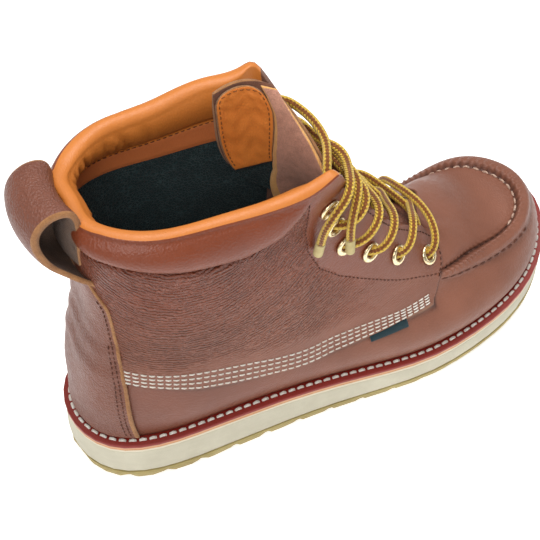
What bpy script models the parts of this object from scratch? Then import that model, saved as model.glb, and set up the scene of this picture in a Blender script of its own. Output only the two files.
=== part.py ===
"""Moc-toe work boot, right foot: wedge sole, welt, hollow leather upper, tongue, pull loop, eyelets and lace.

Lengths are millimetres and turn into Blender's metres when a mesh is made. The boot is laid out with x
running forward from the back of the sole, y to the wearer's left (the inner side of a right boot) and z up
from the floor. An empty then carries the pieces so that the origin lies under the middle of the boot, on
the floor.
"""

import math

import bmesh
import bpy
import numpy as np

# Driving dimensions
MM = 0.001
GAP = 0.3
LENGTH = 305.0
SPRING_START = 190.0
TOE_SPRING = 17.0
HEEL_END = 55.0
BALL_START = 205.0
TREAD_HEEL, TREAD_BALL = 7.5, 6.0
WEDGE_HEEL, WEDGE_BALL = 18.5, 10.5
MIDSOLE = 3.0
WELT = 3.0
WELT_MARGIN = 6.0
WELT_WIDTH = 13.0
INSOLE = 4.5
LUG_PITCH = 19.0
LUG_GROOVE = 6.0
LUG_DEPTH = 2.6
LUG_FLANK = 1.8
EDGE_BEVEL = 1.5

# Upper: wall of leather and lining, padded collar, raised toe seam
WALL = 3.0
COLLAR_PAD = 4.5
COLLAR_ROLL = 3.2
PAD_FOOT, PAD_FULL, PAD_SHOULDER, PAD_FALL = 88.0, 116.0, 122.0, 0.45
SEAM_RIDGE = 2.6
RIDGE_FOOT, RIDGE_CREST, RIDGE_CREASE = 27.0, 41.0, 54.0
STRAP_LEATHER = 1.9
OVERLAY_GAP = 0.8
BACKSTAY_FOOT, BACKSTAY_TOP = 38.0, 28.0
LOOP_WIDTH = 35.0
TONGUE_LEATHER = 2.4

# Eyelets and lace
EYELET_RADIUS, EYELET_HOLE, EYELET_FLANGE = 5.6, 2.9, 1.1
EYELET_SIDES = 9
LACE_RADIUS = 2.1
BAR_ARCH = 4.0
CROSS_ARCH = 3.0

# Outline of the sole: distance from the heel, sideways bend of the centre line, half widths to each side
OUTLINE_COLUMNS = ("x", "centre", "lateral", "medial")
OUTLINE = (
    (0.0, 0.0, 0.0, 0.0),
    (14.0, 0.0, 30.0, 29.5),
    (45.0, 0.0, 40.3, 38.0),
    (95.0, -1.0, 41.3, 37.0),
    (145.0, -2.0, 43.5, 41.0),
    (190.0, -1.0, 49.0, 50.0),
    (225.0, 4.5, 52.0, 53.0),
    (255.0, 10.0, 50.5, 51.0),
    (280.0, 15.0, 41.5, 42.0),
    (296.0, 18.0, 26.5, 26.5),
    (305.0, 19.5, 0.0, 0.0),
)

# Sections of the upper from heel to toe. Each starts on the feather line at foot_x and heads for the plan
# point (aim_x, aim_y). For five levels above the feather it gives how far in the wall lies and how high.
SECTION_COLUMNS = (
    "foot_x", "aim_x", "aim_y", "bulge_in", "bulge_z", "seam_in", "seam_z", "ankle_in", "ankle_z",
    "roll_in", "roll_z", "edge_in", "edge_z",
)
SECTIONS = {
    "heel": (0, 45, 0, 2.5, 49, 6.5, 82, 14.0, 114, 12.5, 158, 15.0, 180),
    "heel_corner": (13, 45, 2, 0.0, 49, 3.0, 80, 9.5, 113, 7.5, 158, 9.5, 180),
    "ankle_back": (42, 44, 0, -3.5, 47, -2.0, 71, 0.5, 110, -2.5, 155, -3.0, 180),
    "ankle": (76, 77, 0, -4.0, 45, -2.8, 61, -1.5, 105, -5.0, 152, -7.0, 180),
    "ankle_front": (104, 102, 0, -4.0, 43, -3.2, 54, 0.0, 102, -2.5, 154, -9.5, 183),
    "collar_front": (119, 116, 0, -4.0, 42, -2.8, 52, 1.8, 99, 0.5, 153, -7.0, 185.5),
    "top_corner": (127, 123, 0, -4.0, 41, -1.8, 51.5, 3.2, 97, 3.0, 149, -4.0, 185.5),
    "facing_top": (132, 128, 0, -4.0, 40.5, -1.0, 51.5, 4.2, 95, 5.0, 144, 0.5, 178),
    "facing_upper": (142, 137, 0, -4.0, 40, 0.2, 51.5, 6.0, 92, 8.5, 131, 8.5, 162),
    "facing_high": (160, 154, 0, -4.0, 39, 2.0, 52.0, 9.0, 85, 13.0, 110, 15.5, 135),
    "facing_mid": (182, 178, 0, -4.0, 37, 5.0, 53.0, 12.5, 74, 19.0, 90, 25.0, 106),
    "facing_low": (208, 203, 0, -4.0, 36, 9.5, 55.5, 16.5, 67, 24.5, 76, 33.0, 85),
    "vamp_corner": (244, 210, 9, -3.5, 36, 13.5, 55.5, 24.0, 65, 34.0, 74.5, 47.0, 83),
    "toe_corner": (278, 214, 5, -2.0, 39, 10.0, 56, 29.0, 61.5, 47.0, 70.5, 67.0, 82),
    "toe": (305, 215, 0, 0.5, 44, 8.5, 57.5, 31.0, 60, 58.0, 70, 84.0, 82),
}
LEVELS = ("feather", "bulge", "seam", "ankle", "roll", "edge")
LEVEL_AT = (0.0, 18.0, 32.0, 72.0, 108.0, 130.0)
LEVEL_LEAN = (0.0, 0.0, 0.0, 0.5, 2.0, 3.0)
MEDIAL_RISE = (0.0, 0.0, 0.0, 0.5, 2.0, 3.0)
MESH_LEVELS = (0, 9, 18, 27, 32, 37, 41, 46, 53, 64, 78, 92, 104, 109, 115, 121, 127, 130)

# Tongue from its root to its top: lateral wing, middle and medial edge. Its top leans to the medial side.
TONGUE_COLUMNS = (
    "wing_x", "wing_y", "wing_z", "mid_x", "mid_y", "mid_z", "medial_x", "medial_y", "medial_z",
)
TONGUE = (
    (221.0, 0.0, 72.8, 221.5, 9.0, 75.4, 221.0, 18.0, 75.0),
    (203.0, -4.5, 77.5, 203.0, 3.5, 79.5, 203.0, 11.5, 77.5),
    (184.0, -8.0, 89.0, 184.0, 2.5, 92.0, 184.0, 12.0, 90.0),
    (166.0, -12.5, 105.0, 162.0, 3.0, 110.0, 152.0, 15.0, 106.0),
    (151.0, -16.0, 126.0, 140.0, 9.0, 132.0, 120.0, 20.0, 128.0),
    (141.0, -18.0, 152.0, 125.0, 13.0, 157.0, 104.5, 20.5, 153.0),
    (135.0, -3.0, 174.0, 118.5, 16.5, 181.0, 101.0, 20.5, 178.0),
    (124.5, 14.5, 193.0, 113.0, 19.0, 197.0, 101.5, 22.0, 192.0),
)

# Pull loop, seen from the side: it rises from the collar's back, turns over and comes down to the heel
LOOP_COLUMNS = ("x", "z")
LOOP = (
    (13.2, 155.0), (12.6, 165.0), (13.2, 177.0), (11.5, 186.0), (4.0, 187.5), (-2.4, 180.5),
    (-2.2, 169.0), (3.0, 157.5), (10.5, 149.0), (16.0, 142.0),
)
LOOP_ASIDE = 3.0
LOOP_ROUND = 46.0

# Eyelets from the lowest to the top: section counted from the heel, level up the wall, height off the facing
EYELET_COLUMNS = ("section", "level", "lift")
EYELETS = (
    (10.69, 98.7, 0.6), (9.83, 105.5, 0.6), (8.9, 103.2, 0.6), (7.9, 100.5, 0.6), (7.1, 108.0, 0.7),
    (5.9, 115.0, 2.2),
)

# Free ends of the lace. The lateral one leaves the fifth eyelet inside the facing, turns back in front of
# the tongue and hangs over the top corner; the medial one comes across the tongue and hangs beside the
# lateral eyelets.
LACE_END_COLUMNS = ("x", "y", "z")
LACE_ENDS = {
    "lateral": (
        (133.5, -25.0, 147.0), (133.0, -25.0, 156.0), (133.8, -23.5, 162.2), (136.0, -19.5, 166.8),
        (139.0, -14.0, 168.6), (141.7, -7.0, 170.0), (141.8, 0.0, 172.3), (140.3, 7.0, 174.4),
        (136.8, 12.8, 177.2), (132.6, 16.0, 179.7), (128.4, 19.1, 179.2), (125.4, 21.3, 176.4),
        (124.4, 22.1, 172.6), (125.4, 21.3, 168.8), (128.4, 19.1, 166.1), (132.8, 16.4, 165.6),
        (137.0, 12.6, 166.0), (139.9, 9.0, 165.8), (141.7, 3.0, 164.8), (143.6, -4.0, 165.4),
        (145.4, -11.0, 167.4), (146.2, -17.0, 167.0), (144.3, -24.0, 167.0), (140.8, -31.5, 168.7),
        (137.0, -38.0, 168.9), (133.0, -41.6, 166.3), (128.5, -43.6, 163.7), (125.0, -43.8, 158.8),
        (122.6, -42.4, 150.9), (122.0, -41.0, 143.0),
    ),
    "medial": (
        (140.5, 14.0, 155.0), (145.4, 5.0, 155.4), (148.6, -6.0, 158.4), (148.8, -16.0, 158.9),
        (147.6, -27.8, 159.8), (141.6, -37.2, 156.0), (137.8, -41.0, 147.0), (137.6, -41.5, 138.5),
    ),
}
LACE_TIP_RADIUS, LACE_TIP_LENGTH = 2.4, 9.0


def spline_matrix(knots, samples, period=None):
    """Rows of weights that turn values at the knots into a cubic spline's values at the samples."""
    knots = np.asarray(knots, float)
    samples = np.atleast_1d(np.asarray(samples, float))
    count = len(knots)
    steps = np.diff(np.append(knots, knots[0] + period)) if period else np.diff(knots)
    bend = np.zeros((count, count))
    rise = np.zeros((count, count))
    for i in range(count):
        if not period and i in (0, count - 1):
            bend[i, i] = 1.0
            continue
        before, after = steps[i - 1], steps[i]
        previous, following = (i - 1) % count, (i + 1) % count
        bend[i, previous] += before / 6
        bend[i, i] += (before + after) / 3
        bend[i, following] += after / 6
        rise[i, previous] += 1 / before
        rise[i, i] -= 1 / before + 1 / after
        rise[i, following] += 1 / after
    curvature = np.linalg.solve(bend, rise)
    if period:
        samples = knots[0] + (samples - knots[0]) % period
    start = np.clip(np.searchsorted(knots, samples, side="right") - 1, 0, len(steps) - 1)
    finish = (start + 1) % count
    step = steps[start][:, None]
    ahead = (samples - knots[start])[:, None] / step
    behind = 1.0 - ahead
    unit = np.eye(count)
    line = behind * unit[start] + ahead * unit[finish]
    curve = (behind**3 - behind) * curvature[start] + (ahead**3 - ahead) * curvature[finish]
    return line + curve * step**2 / 6


def smoothstep(low, high, value):
    """Soft change from 0 below low to 1 above high."""
    part = np.clip((np.asarray(value, float) - low) / (high - low), 0.0, 1.0)
    return part * part * (3.0 - 2.0 * part)


def turn_of(x):
    """Angle that makes a half-width table round off at heel and toe."""
    return np.arccos(np.clip(1.0 - 2.0 * np.asarray(x, float) / LENGTH, -1.0, 1.0))


def centre_line(x):
    """Sideways place of the sole's centre line."""
    table = np.array(OUTLINE)
    return float(spline_matrix(turn_of(table[:, 0]), turn_of(x))[0] @ table[:, 1])


def outline_sides(inset, fractions):
    """Points of the sole's outline moved in by inset, heel to toe, for the lateral and the medial side."""
    table = np.array(OUTLINE)
    turns = np.linspace(0.0, math.pi, 721)
    weights = spline_matrix(turn_of(table[:, 0]), turns)
    x = LENGTH * (1.0 - np.cos(turns)) / 2.0
    centre = weights @ table[:, 1]
    sides = []
    for column, sign in ((2, -1.0), (3, 1.0)):
        y = centre + sign * (weights @ table[:, column])
        along = np.stack([np.gradient(x), np.gradient(y)], axis=1)
        along /= np.linalg.norm(along, axis=1)[:, None]
        inward = np.stack([along[:, 1], -along[:, 0]], axis=1) * sign
        inward[0], inward[-1] = (1.0, 0.0), (-1.0, 0.0)
        moved = np.stack([x, y], axis=1) + inset * inward
        order = np.argsort(moved[:, 0])
        at = inset + (LENGTH - 2 * inset) * np.asarray(fractions)
        sides.append(np.stack([at, np.interp(at, moved[order, 0], moved[order, 1])], axis=1))
    return sides


def end_weighted(count):
    """Fractions from 0 to 1, closer together near both ends."""
    return (1.0 - np.cos(np.linspace(0.0, math.pi, count + 1))) / 2.0


def floor_line(x):
    """Underside of the sole: flat from the heel to the ball, then the toe spring."""
    return TOE_SPRING * np.clip((x - SPRING_START) / (LENGTH - SPRING_START), 0.0, 1.0) ** 2


def tread_top(x):
    return floor_line(x) + TREAD_HEEL + (TREAD_BALL - TREAD_HEEL) * smoothstep(HEEL_END, BALL_START, x)


def wedge_top(x):
    return tread_top(x) + WEDGE_HEEL + (WEDGE_BALL - WEDGE_HEEL) * smoothstep(HEEL_END, BALL_START, x)


def midsole_top(x):
    return wedge_top(x) + MIDSOLE


def welt_top(x):
    return midsole_top(x) + WELT


def lug_line(x):
    """Underside of the tread with cross grooves between the lugs."""
    across = np.abs((x - LUG_PITCH / 2) % LUG_PITCH - LUG_PITCH / 2)
    groove = 1.0 - np.clip((across - LUG_GROOVE / 2 + LUG_FLANK) / LUG_FLANK, 0.0, 1.0)
    return floor_line(x) + LUG_DEPTH * groove


def add_object(name, points, faces, material, smooth=True):
    """Mesh object with faces turned outward and one material."""
    mesh = bpy.data.meshes.new(name)
    mesh.from_pydata((np.asarray(points, float) * MM).tolist(), [], [list(map(int, face)) for face in faces])
    shape = bmesh.new()
    shape.from_mesh(mesh)
    bmesh.ops.remove_doubles(shape, verts=shape.verts, dist=0.00001)
    bmesh.ops.dissolve_degenerate(shape, edges=shape.edges, dist=0.00001)
    bmesh.ops.recalc_face_normals(shape, faces=shape.faces)
    if shape.calc_volume(signed=True) < 0.0:
        bmesh.ops.reverse_faces(shape, faces=shape.faces)
    shape.to_mesh(mesh)
    shape.free()
    mesh.polygons.foreach_set("use_smooth", [smooth] * len(mesh.polygons))
    item = bpy.data.objects.new(name, mesh)
    item.data.materials.append(material)
    bpy.context.scene.collection.objects.link(item)
    return item


def ring_points(inset, fractions, height):
    """Closed loop of an outline: heel tip, lateral side, toe tip, medial side."""
    lateral, medial = outline_sides(inset, fractions)
    plan = np.concatenate([lateral, medial[-2:0:-1]])
    return np.column_stack([plan, height(plan[:, 0])])


def ladder_faces(first, count):
    """Flat cover over a loop that joins each lateral point to the medial point beside it."""
    total = 2 * count
    faces = [(first, first + 1, first + total - 1)]
    for i in range(1, count - 1):
        faces.append((first + i, first + i + 1, first + total - i - 1, first + total - i))
    faces.append((first + count - 1, first + count, first + count + 1))
    return faces


def add_slab(name, levels, fractions, material):
    """Closed layer of the sole from loops listed bottom to top as (inset, height)."""
    count = len(fractions) - 1
    loop = 2 * count
    points = np.concatenate([ring_points(inset, fractions, height) for inset, height in levels])
    faces = ladder_faces(0, count) + ladder_faces((len(levels) - 1) * loop, count)
    for level in range(len(levels) - 1):
        for i in range(loop):
            j = (i + 1) % loop
            faces.append((level * loop + i, level * loop + j, (level + 1) * loop + j, (level + 1) * loop + i))
    return add_object(name, points, faces, material, smooth=False)


def add_band(name, outer, inner, low, high, fractions, material):
    """Closed ring between two outlines."""
    loop = 2 * (len(fractions) - 1)
    loops = ((outer, low), (outer, high), (inner, high), (inner, low))
    points = np.concatenate([ring_points(inset, fractions, height) for inset, height in loops])
    faces = []
    for level in range(4):
        upper_level = (level + 1) % 4
        for i in range(loop):
            j = (i + 1) % loop
            faces.append((level * loop + i, level * loop + j, upper_level * loop + j, upper_level * loop + i))
    return add_object(name, points, faces, material, smooth=False)


def lattice():
    """Control points of the upper by section round the foot, and each section's place on the feather."""
    rows = []
    half = [dict(zip(SECTION_COLUMNS, values)) for values in SECTIONS.values()]
    fine = end_weighted(400)
    sides = outline_sides(WELT_MARGIN, fine)
    for side, order in ((0, half), (1, half[-2:0:-1])):
        sign = (-1.0, 1.0)[side]
        for row in order:
            foot_x = np.clip(row["foot_x"], WELT_MARGIN, LENGTH - WELT_MARGIN)
            foot = np.array([foot_x, np.interp(foot_x, sides[side][:, 0], sides[side][:, 1])])
            aim = np.array([row["aim_x"], sign * row["aim_y"] + centre_line(row["aim_x"])])
            inward = (aim - foot) / np.linalg.norm(aim - foot)
            points = [(*foot, welt_top(foot_x) + GAP)]
            upright = 1.0 - smoothstep(70.0, 125.0, foot_x)
            raised = side * smoothstep(40.0, 105.0, foot_x) * (1.0 - smoothstep(130.0, 155.0, foot_x))
            for level, lean, rise in zip(LEVELS[1:], LEVEL_LEAN[1:], MEDIAL_RISE[1:]):
                place = foot + row[level + "_in"] * inward + np.array([0.0, lean * upright])
                points.append((*place, row[level + "_z"] + rise * raised))
            rows.append(points)
    grid = np.array(rows, float)
    closed = np.concatenate([grid[:, 0], grid[:1, 0]])
    around = np.concatenate([[0.0], np.cumsum(np.linalg.norm(np.diff(closed, axis=0), axis=1))])
    return grid, around[:-1], around[-1]


GRID, ROUND_AT, ROUND = lattice()
TOE_AT = ROUND_AT[len(SECTIONS) - 1]


def stations(longest):
    """Places round the foot: every section, and even steps no longer than longest between them."""
    stops = np.append(ROUND_AT, ROUND)
    spans = zip(stops, stops[1:])
    return np.concatenate([np.linspace(a, b, math.ceil((b - a) / longest), endpoint=False) for a, b in spans])


def section_at(name, side):
    """Place round the feather of a named section on the lateral (-1) or medial (1) side."""
    index = list(SECTIONS).index(name)
    return ROUND_AT[index] if side < 0 else ROUND_AT[-index % len(ROUND_AT)]


def from_heel(around):
    """Distance along the feather from the back of the heel, and the section number counted from there."""
    around = np.asarray(around, float) % ROUND
    lateral = np.interp(around, ROUND_AT[: len(SECTIONS)], np.arange(len(SECTIONS)))
    medial_at = np.append(ROUND_AT[len(SECTIONS) - 1:], ROUND)
    medial = np.interp(around, medial_at, np.arange(len(SECTIONS))[::-1])
    return np.where(around <= TOE_AT, lateral, medial)


def plain_upper(around, level):
    """Points of the upper's smooth outer form at paired places round the foot and up the wall.

    Each section is a cubic spline through its levels, paced by their distances apart.
    """
    knots = np.array(LEVEL_AT)
    around, level = np.asarray(around, float), np.asarray(level, float)
    controls = np.einsum("ir,rkc->ikc", spline_matrix(ROUND_AT, around, ROUND), GRID)
    chords = np.diff(controls, axis=1)
    steps = np.linalg.norm(chords, axis=2)
    slopes = chords / steps[:, :, None]
    inner = len(knots) - 2
    system = np.zeros((len(around), inner, inner))
    for i in range(inner):
        system[:, i, i] = 2 * (steps[:, i] + steps[:, i + 1])
        if i:
            system[:, i, i - 1] = system[:, i - 1, i] = steps[:, i]
    curvature = np.zeros_like(controls)
    curvature[:, 1:-1] = np.linalg.solve(system, 6 * np.diff(slopes, axis=1))
    start = np.clip(np.searchsorted(knots, level, side="right") - 1, 0, inner)
    row = np.arange(len(around))
    ahead = ((level - knots[start]) / np.diff(knots)[start])[:, None]
    behind = 1.0 - ahead
    line = behind * controls[row, start] + ahead * controls[row, start + 1]
    bend = (behind**3 - behind) * curvature[row, start] + (ahead**3 - ahead) * curvature[row, start + 1]
    return line + bend * steps[row, start][:, None] ** 2 / 6


def upper_normals(around, level):
    """Outward directions of the smooth form."""
    step = 0.5
    low, high = np.clip(level - step, 0, LEVEL_AT[-1]), np.clip(level + step, 0, LEVEL_AT[-1])
    along = plain_upper(around + step, level) - plain_upper(around - step, level)
    up = plain_upper(around, high) - plain_upper(around, low)
    normal = np.cross(along, up)
    return normal / np.linalg.norm(normal, axis=1)[:, None]


def collar_share(around):
    """1 along the padded collar, 0 along the eyelet facings and the throat."""
    names = list(SECTIONS)
    return 1.0 - smoothstep(names.index("ankle_front") + 0.3, names.index("top_corner"), from_heel(around))


def toe_share(around):
    """1 along the raised toe seam, 0 behind the facings."""
    names = list(SECTIONS)
    return smoothstep(names.index("facing_low"), names.index("vamp_corner"), from_heel(around))


def upper_form(around, level, raised):
    """Points of the upper moved out by raised, with the collar roll and the toe seam."""
    around, level = np.broadcast_arrays(np.asarray(around, float), np.asarray(level, float))
    around, level = around.ravel(), level.ravel()
    roll = np.sin(math.pi * np.clip((level - LEVEL_AT[4]) / (LEVEL_AT[5] - LEVEL_AT[4]), 0, 1)) ** 0.8
    ridge = smoothstep(RIDGE_FOOT, RIDGE_CREST, level) * (1.0 - smoothstep(RIDGE_CREST, RIDGE_CREASE, level))
    out = raised + COLLAR_ROLL * roll * collar_share(around) + SEAM_RIDGE * ridge * toe_share(around)
    return plain_upper(around, level) + upper_normals(around, level) * np.reshape(out, (-1, 1))


def wall_form(around, level):
    """Inner face of the wall: leather and lining, thicker at the padded collar."""
    around, level = around.ravel(), level.ravel()
    fall = 1.0 - PAD_FALL * smoothstep(PAD_SHOULDER, LEVEL_AT[5], level)
    pad = smoothstep(PAD_FOOT, PAD_FULL, level) * fall
    thick = WALL + COLLAR_PAD * pad * collar_share(around)
    inner = plain_upper(around, level) - upper_normals(around, level) * thick[:, None]
    foot = level <= LEVEL_AT[0]
    inner[foot, 2] = plain_upper(around[foot], level[foot])[:, 2]
    return inner


def add_upper(material):
    """Hollow upper: outer and inner skins joined along the feather and round the opening."""
    around = stations(14.0)
    level = np.array(MESH_LEVELS, float)
    a, v = np.meshgrid(around, level, indexing="ij")
    outer = upper_form(a, v, 0.0)
    inner = wall_form(a, v)
    rows = len(level)
    total = len(outer)
    faces = []
    for i in range(len(around)):
        j = (i + 1) % len(around)
        for k in range(rows - 1):
            a, b, c, d = i * rows + k, j * rows + k, j * rows + k + 1, i * rows + k + 1
            faces += [(a, b, c, d), (total + a, total + d, total + c, total + b)]
        faces.append((i * rows, total + i * rows, total + j * rows, j * rows))
        here, beside = i * rows + rows - 1, j * rows + rows - 1
        faces.append((here, beside, total + beside, total + here))
    return add_object("upper", np.concatenate([outer, inner]), faces, material)


def shell_faces(rows, columns):
    """Faces of a closed plate: two grids of the same size joined along their rim."""
    total = rows * columns
    faces = []
    for i in range(rows - 1):
        for k in range(columns - 1):
            a, b = i * columns + k, (i + 1) * columns + k
            c, d = b + 1, a + 1
            faces += [(a, b, c, d), (total + a, total + d, total + c, total + b)]
    rim = list(range(columns))
    rim += [i * columns + columns - 1 for i in range(1, rows)]
    rim += [(rows - 1) * columns + k for k in range(columns - 2, -1, -1)]
    rim += [i * columns for i in range(rows - 2, 0, -1)]
    for a, b in zip(rim, rim[1:] + rim[:1]):
        faces.append((a, b, total + b, total + a))
    return faces


def add_backstay(material):
    """Strap over the heel seam, cut between two offsets of the upper's own form."""
    level = np.array([3, *MESH_LEVELS[1:12]], float)
    share = np.linspace(-1.0, 1.0, 9)
    half = BACKSTAY_FOOT + (BACKSTAY_TOP - BACKSTAY_FOOT) * (level / level[-1]) ** 0.9
    around = half[:, None] * share[None, :]
    up = np.repeat(level[:, None], len(share), axis=1)
    skins = [upper_form(around, up, OVERLAY_GAP), upper_form(around, up, OVERLAY_GAP + STRAP_LEATHER)]
    return add_object("backstay", np.concatenate(skins), shell_faces(len(level), len(share)), material)


def add_pull_loop(material):
    """Leather strap that stands off behind the collar, rounded a little about the heel."""
    table = np.array(LOOP)
    knots = np.arange(len(LOOP), dtype=float)
    at = np.linspace(0.0, knots[-1], 24)
    line = spline_matrix(knots, at) @ table
    along = np.gradient(line, axis=0)
    along /= np.linalg.norm(along, axis=1)[:, None]
    normal = np.column_stack([-along[:, 1], along[:, 0]])
    across = np.linspace(-0.5, 0.5, 7) * LOOP_WIDTH
    skins = []
    for half in (-0.5, 0.5):
        strip = line + normal * half * STRAP_LEATHER
        x = strip[:, :1] + across[None, :] ** 2 / (2 * LOOP_ROUND)
        y = np.broadcast_to(LOOP_ASIDE + across, x.shape)
        z = np.broadcast_to(strip[:, 1:], x.shape)
        skins.append(np.stack([x, y, z], axis=2).reshape(-1, 3))
    return add_object("pull_loop", np.concatenate(skins), shell_faces(len(line), len(across)), material)


def tongue_skin(rise, across):
    """Middle surface of the tongue: rise from root 0 to top 1, across from wing -1 to medial edge 1."""
    knots = np.linspace(0.0, 1.0, len(TONGUE))
    wing, middle, medial = np.split(spline_matrix(knots, rise) @ np.array(TONGUE), 3, axis=1)
    q = np.asarray(across, float)[:, None]
    return wing * q * (q - 1) / 2 + middle * (1 - q * q) + medial * q * (q + 1) / 2


def tongue_form(rise, across, raised):
    """Points of the tongue moved toward the foot by raised."""
    step = 0.004
    low, high = np.clip(rise - step, 0, 1), np.clip(rise + step, 0, 1)
    up = tongue_skin(high, across) - tongue_skin(low, across)
    side = tongue_skin(rise, across + step) - tongue_skin(rise, across - step)
    normal = np.cross(side, up)
    normal /= np.linalg.norm(normal, axis=1)[:, None]
    return tongue_skin(rise, across) - normal * raised


def add_tongue(material):
    rise = np.linspace(0.0, 1.0, 18)
    across = np.linspace(-1.0, 1.0, 9)
    r, a = (part.ravel() for part in np.meshgrid(rise, across, indexing="ij"))
    skins = [tongue_form(r, a, -TONGUE_LEATHER / 2), tongue_form(r, a, TONGUE_LEATHER / 2)]
    return add_object("tongue", np.concatenate(skins), shell_faces(len(rise), len(across)), material)


def eyelet_frames():
    """Centre, normal and nearby facing edge of each eyelet from lowest to top, for both sides."""
    frames = {}
    order = np.arange(len(SECTIONS))
    section, level, lift = np.array(EYELETS).T
    for label, side in (("lateral", -1), ("medial", 1)):
        stops = [section_at(name, side) for name in SECTIONS]
        if side > 0:
            stops[0] = ROUND
        at = np.interp(section, order, stops)
        normal = upper_normals(at, level)
        centre = plain_upper(at, level) + normal * lift[:, None]
        dense = np.linspace(*sorted((at.min() - 30.0, at.max() + 30.0)), 300)
        rim = plain_upper(dense, np.full(300, LEVEL_AT[-1]))
        edge = [rim[np.argmin(np.linalg.norm(rim - place, axis=1))] for place in centre]
        frames[label] = list(zip(centre, normal, edge))
    return frames


def frame_from(normal, hint):
    """Three directions for a small piece: two across the normal and the normal itself."""
    normal = normal / np.linalg.norm(normal)
    first = hint - normal * (hint @ normal)
    first /= np.linalg.norm(first)
    return first, np.cross(normal, first), normal


def add_lathe(name, centre, normal, profile, count, material):
    """Round piece turned about a normal; the closed profile holds (radius, height) corners."""
    first, second, axis = frame_from(normal, np.array([1.0, 0.0, 0.2]))
    points, faces = [], []
    for radius, height in profile:
        for turn in np.linspace(0.0, 2 * math.pi, count, endpoint=False):
            spoke = math.cos(turn) * first + math.sin(turn) * second
            points.append(centre + radius * spoke + height * axis)
    for k in range(len(profile)):
        after = (k + 1) % len(profile)
        for i in range(count):
            j = (i + 1) % count
            faces.append((k * count + i, k * count + j, after * count + j, after * count + i))
    return add_object(name, points, faces, material)


def add_eyelets(material):
    profile = (
        (EYELET_HOLE, 0.0), (EYELET_RADIUS, 0.0), (EYELET_RADIUS, 0.5 * EYELET_FLANGE),
        (0.5 * (EYELET_HOLE + EYELET_RADIUS), EYELET_FLANGE), (EYELET_HOLE, 0.6 * EYELET_FLANGE),
    )
    for label, frames in eyelet_frames().items():
        for number, (centre, normal, _) in enumerate(frames, 1):
            add_lathe(f"eyelet_{label}_{number}", centre, normal, profile, EYELET_SIDES, material)


def route(points, count):
    """Evenly spaced points along a smooth curve through route points."""
    points = np.asarray(points, float)
    knots = np.concatenate([[0.0], np.cumsum(np.linalg.norm(np.diff(points, axis=0), axis=1))])
    return spline_matrix(knots, np.linspace(0.0, knots[-1], count)) @ points


def add_tube(name, line, radius, material, sides=6):
    """Closed round bar along a line of points."""
    line = np.asarray(line, float)
    along = np.gradient(line, axis=0)
    across = np.array([0.0, 0.0, 1.0])
    points, faces = [], []
    for centre, direction in zip(line, along):
        direction = direction / np.linalg.norm(direction)
        across = across - direction * (across @ direction)
        across /= np.linalg.norm(across)
        other = np.cross(direction, across)
        for turn in np.linspace(0.0, 2 * math.pi, sides, endpoint=False):
            points.append(centre + radius * (math.cos(turn) * across + math.sin(turn) * other))
    for k in range(len(line) - 1):
        for i in range(sides):
            j = (i + 1) % sides
            faces.append((k * sides + i, k * sides + j, (k + 1) * sides + j, (k + 1) * sides + i))
    faces.append(tuple(range(sides)))
    faces.append(tuple((len(line) - 1) * sides + i for i in range(sides)))
    return add_object(name, points, faces, material)


def lace_points(frames, side, number):
    """Places a lace passes at one eyelet: over the hole, over the facing's edge, and beside the tongue."""
    centre, normal, edge = frames[side][number]
    over = centre + normal * (EYELET_FLANGE + LACE_RADIUS + 0.8)
    lip = edge + normal * (LACE_RADIUS + 1.6)
    inward = np.array([0.0, 1.0 if side == "lateral" else -1.0, 0.0])
    beside = edge + inward * (LACE_RADIUS + 2.1) + normal * 0.6
    return over, lip, beside


def add_lacing(material):
    """Bottom bar and the crossings above it; each crossing is two strands made one."""
    frames = eyelet_frames()
    over_l, lip_l, _ = lace_points(frames, "lateral", 0)
    over_m, lip_m, _ = lace_points(frames, "medial", 0)
    middle = (lip_l + lip_m) / 2 + np.array([1.0, 0.0, BAR_ARCH])
    add_tube("lace_bar", route([over_l, lip_l, middle, lip_m, over_m], 13), LACE_RADIUS, material)
    for number in range(len(EYELETS) - 2):
        strands = []
        for side, other in (("lateral", "medial"), ("medial", "lateral")):
            start = lace_points(frames, side, number)[2]
            over, lip, _ = lace_points(frames, other, number + 1)
            middle = (start + lip) / 2 + np.array([0.3, 0.0, 1.0]) * CROSS_ARCH
            line = route([start, middle, lip, over], 12)
            strands.append(add_tube(f"lace_{side}", line, LACE_RADIUS, material))
        joined, cutter = strands
        joined.name = f"lace_cross_{number + 1}"
        union = joined.modifiers.new("join", "BOOLEAN")
        union.operation = "UNION"
        union.solver = "EXACT"
        union.object = cutter
        cutter.hide_render = True
        cutter.display_type = "WIRE"


def add_cord(name, points, radius, material):
    """Free cord as a bevelled curve through hand-placed points."""
    length = float(np.sum(np.linalg.norm(np.diff(np.asarray(points, float), axis=0), axis=1)))
    line = route(points, int(length / (4.2 * radius)) + 2)
    curve = bpy.data.curves.new(name, "CURVE")
    curve.dimensions = "3D"
    curve.bevel_depth = radius * MM
    curve.bevel_resolution = 2
    curve.use_fill_caps = True
    spline = curve.splines.new("POLY")
    spline.points.add(len(line) - 1)
    for slot, place in zip(spline.points, line):
        slot.co = (*(place * MM), 1.0)
    item = bpy.data.objects.new(name, curve)
    item.data.materials.append(material)
    bpy.context.scene.collection.objects.link(item)
    return line


def add_lace_ends(cord, tip):
    """Free lace ends, each finished with a round tip."""
    for side, points in LACE_ENDS.items():
        line = add_cord(f"lace_end_{side}", points, LACE_RADIUS, cord)
        along = (line[-1] - line[-2]) / np.linalg.norm(line[-1] - line[-2])
        start = line[-1] + along * GAP
        shaft = [start + along * LACE_TIP_LENGTH * part for part in (0.0, 0.5, 1.0)]
        add_tube(f"lace_tip_{side}", shaft, LACE_TIP_RADIUS, tip, sides=10)


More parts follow.
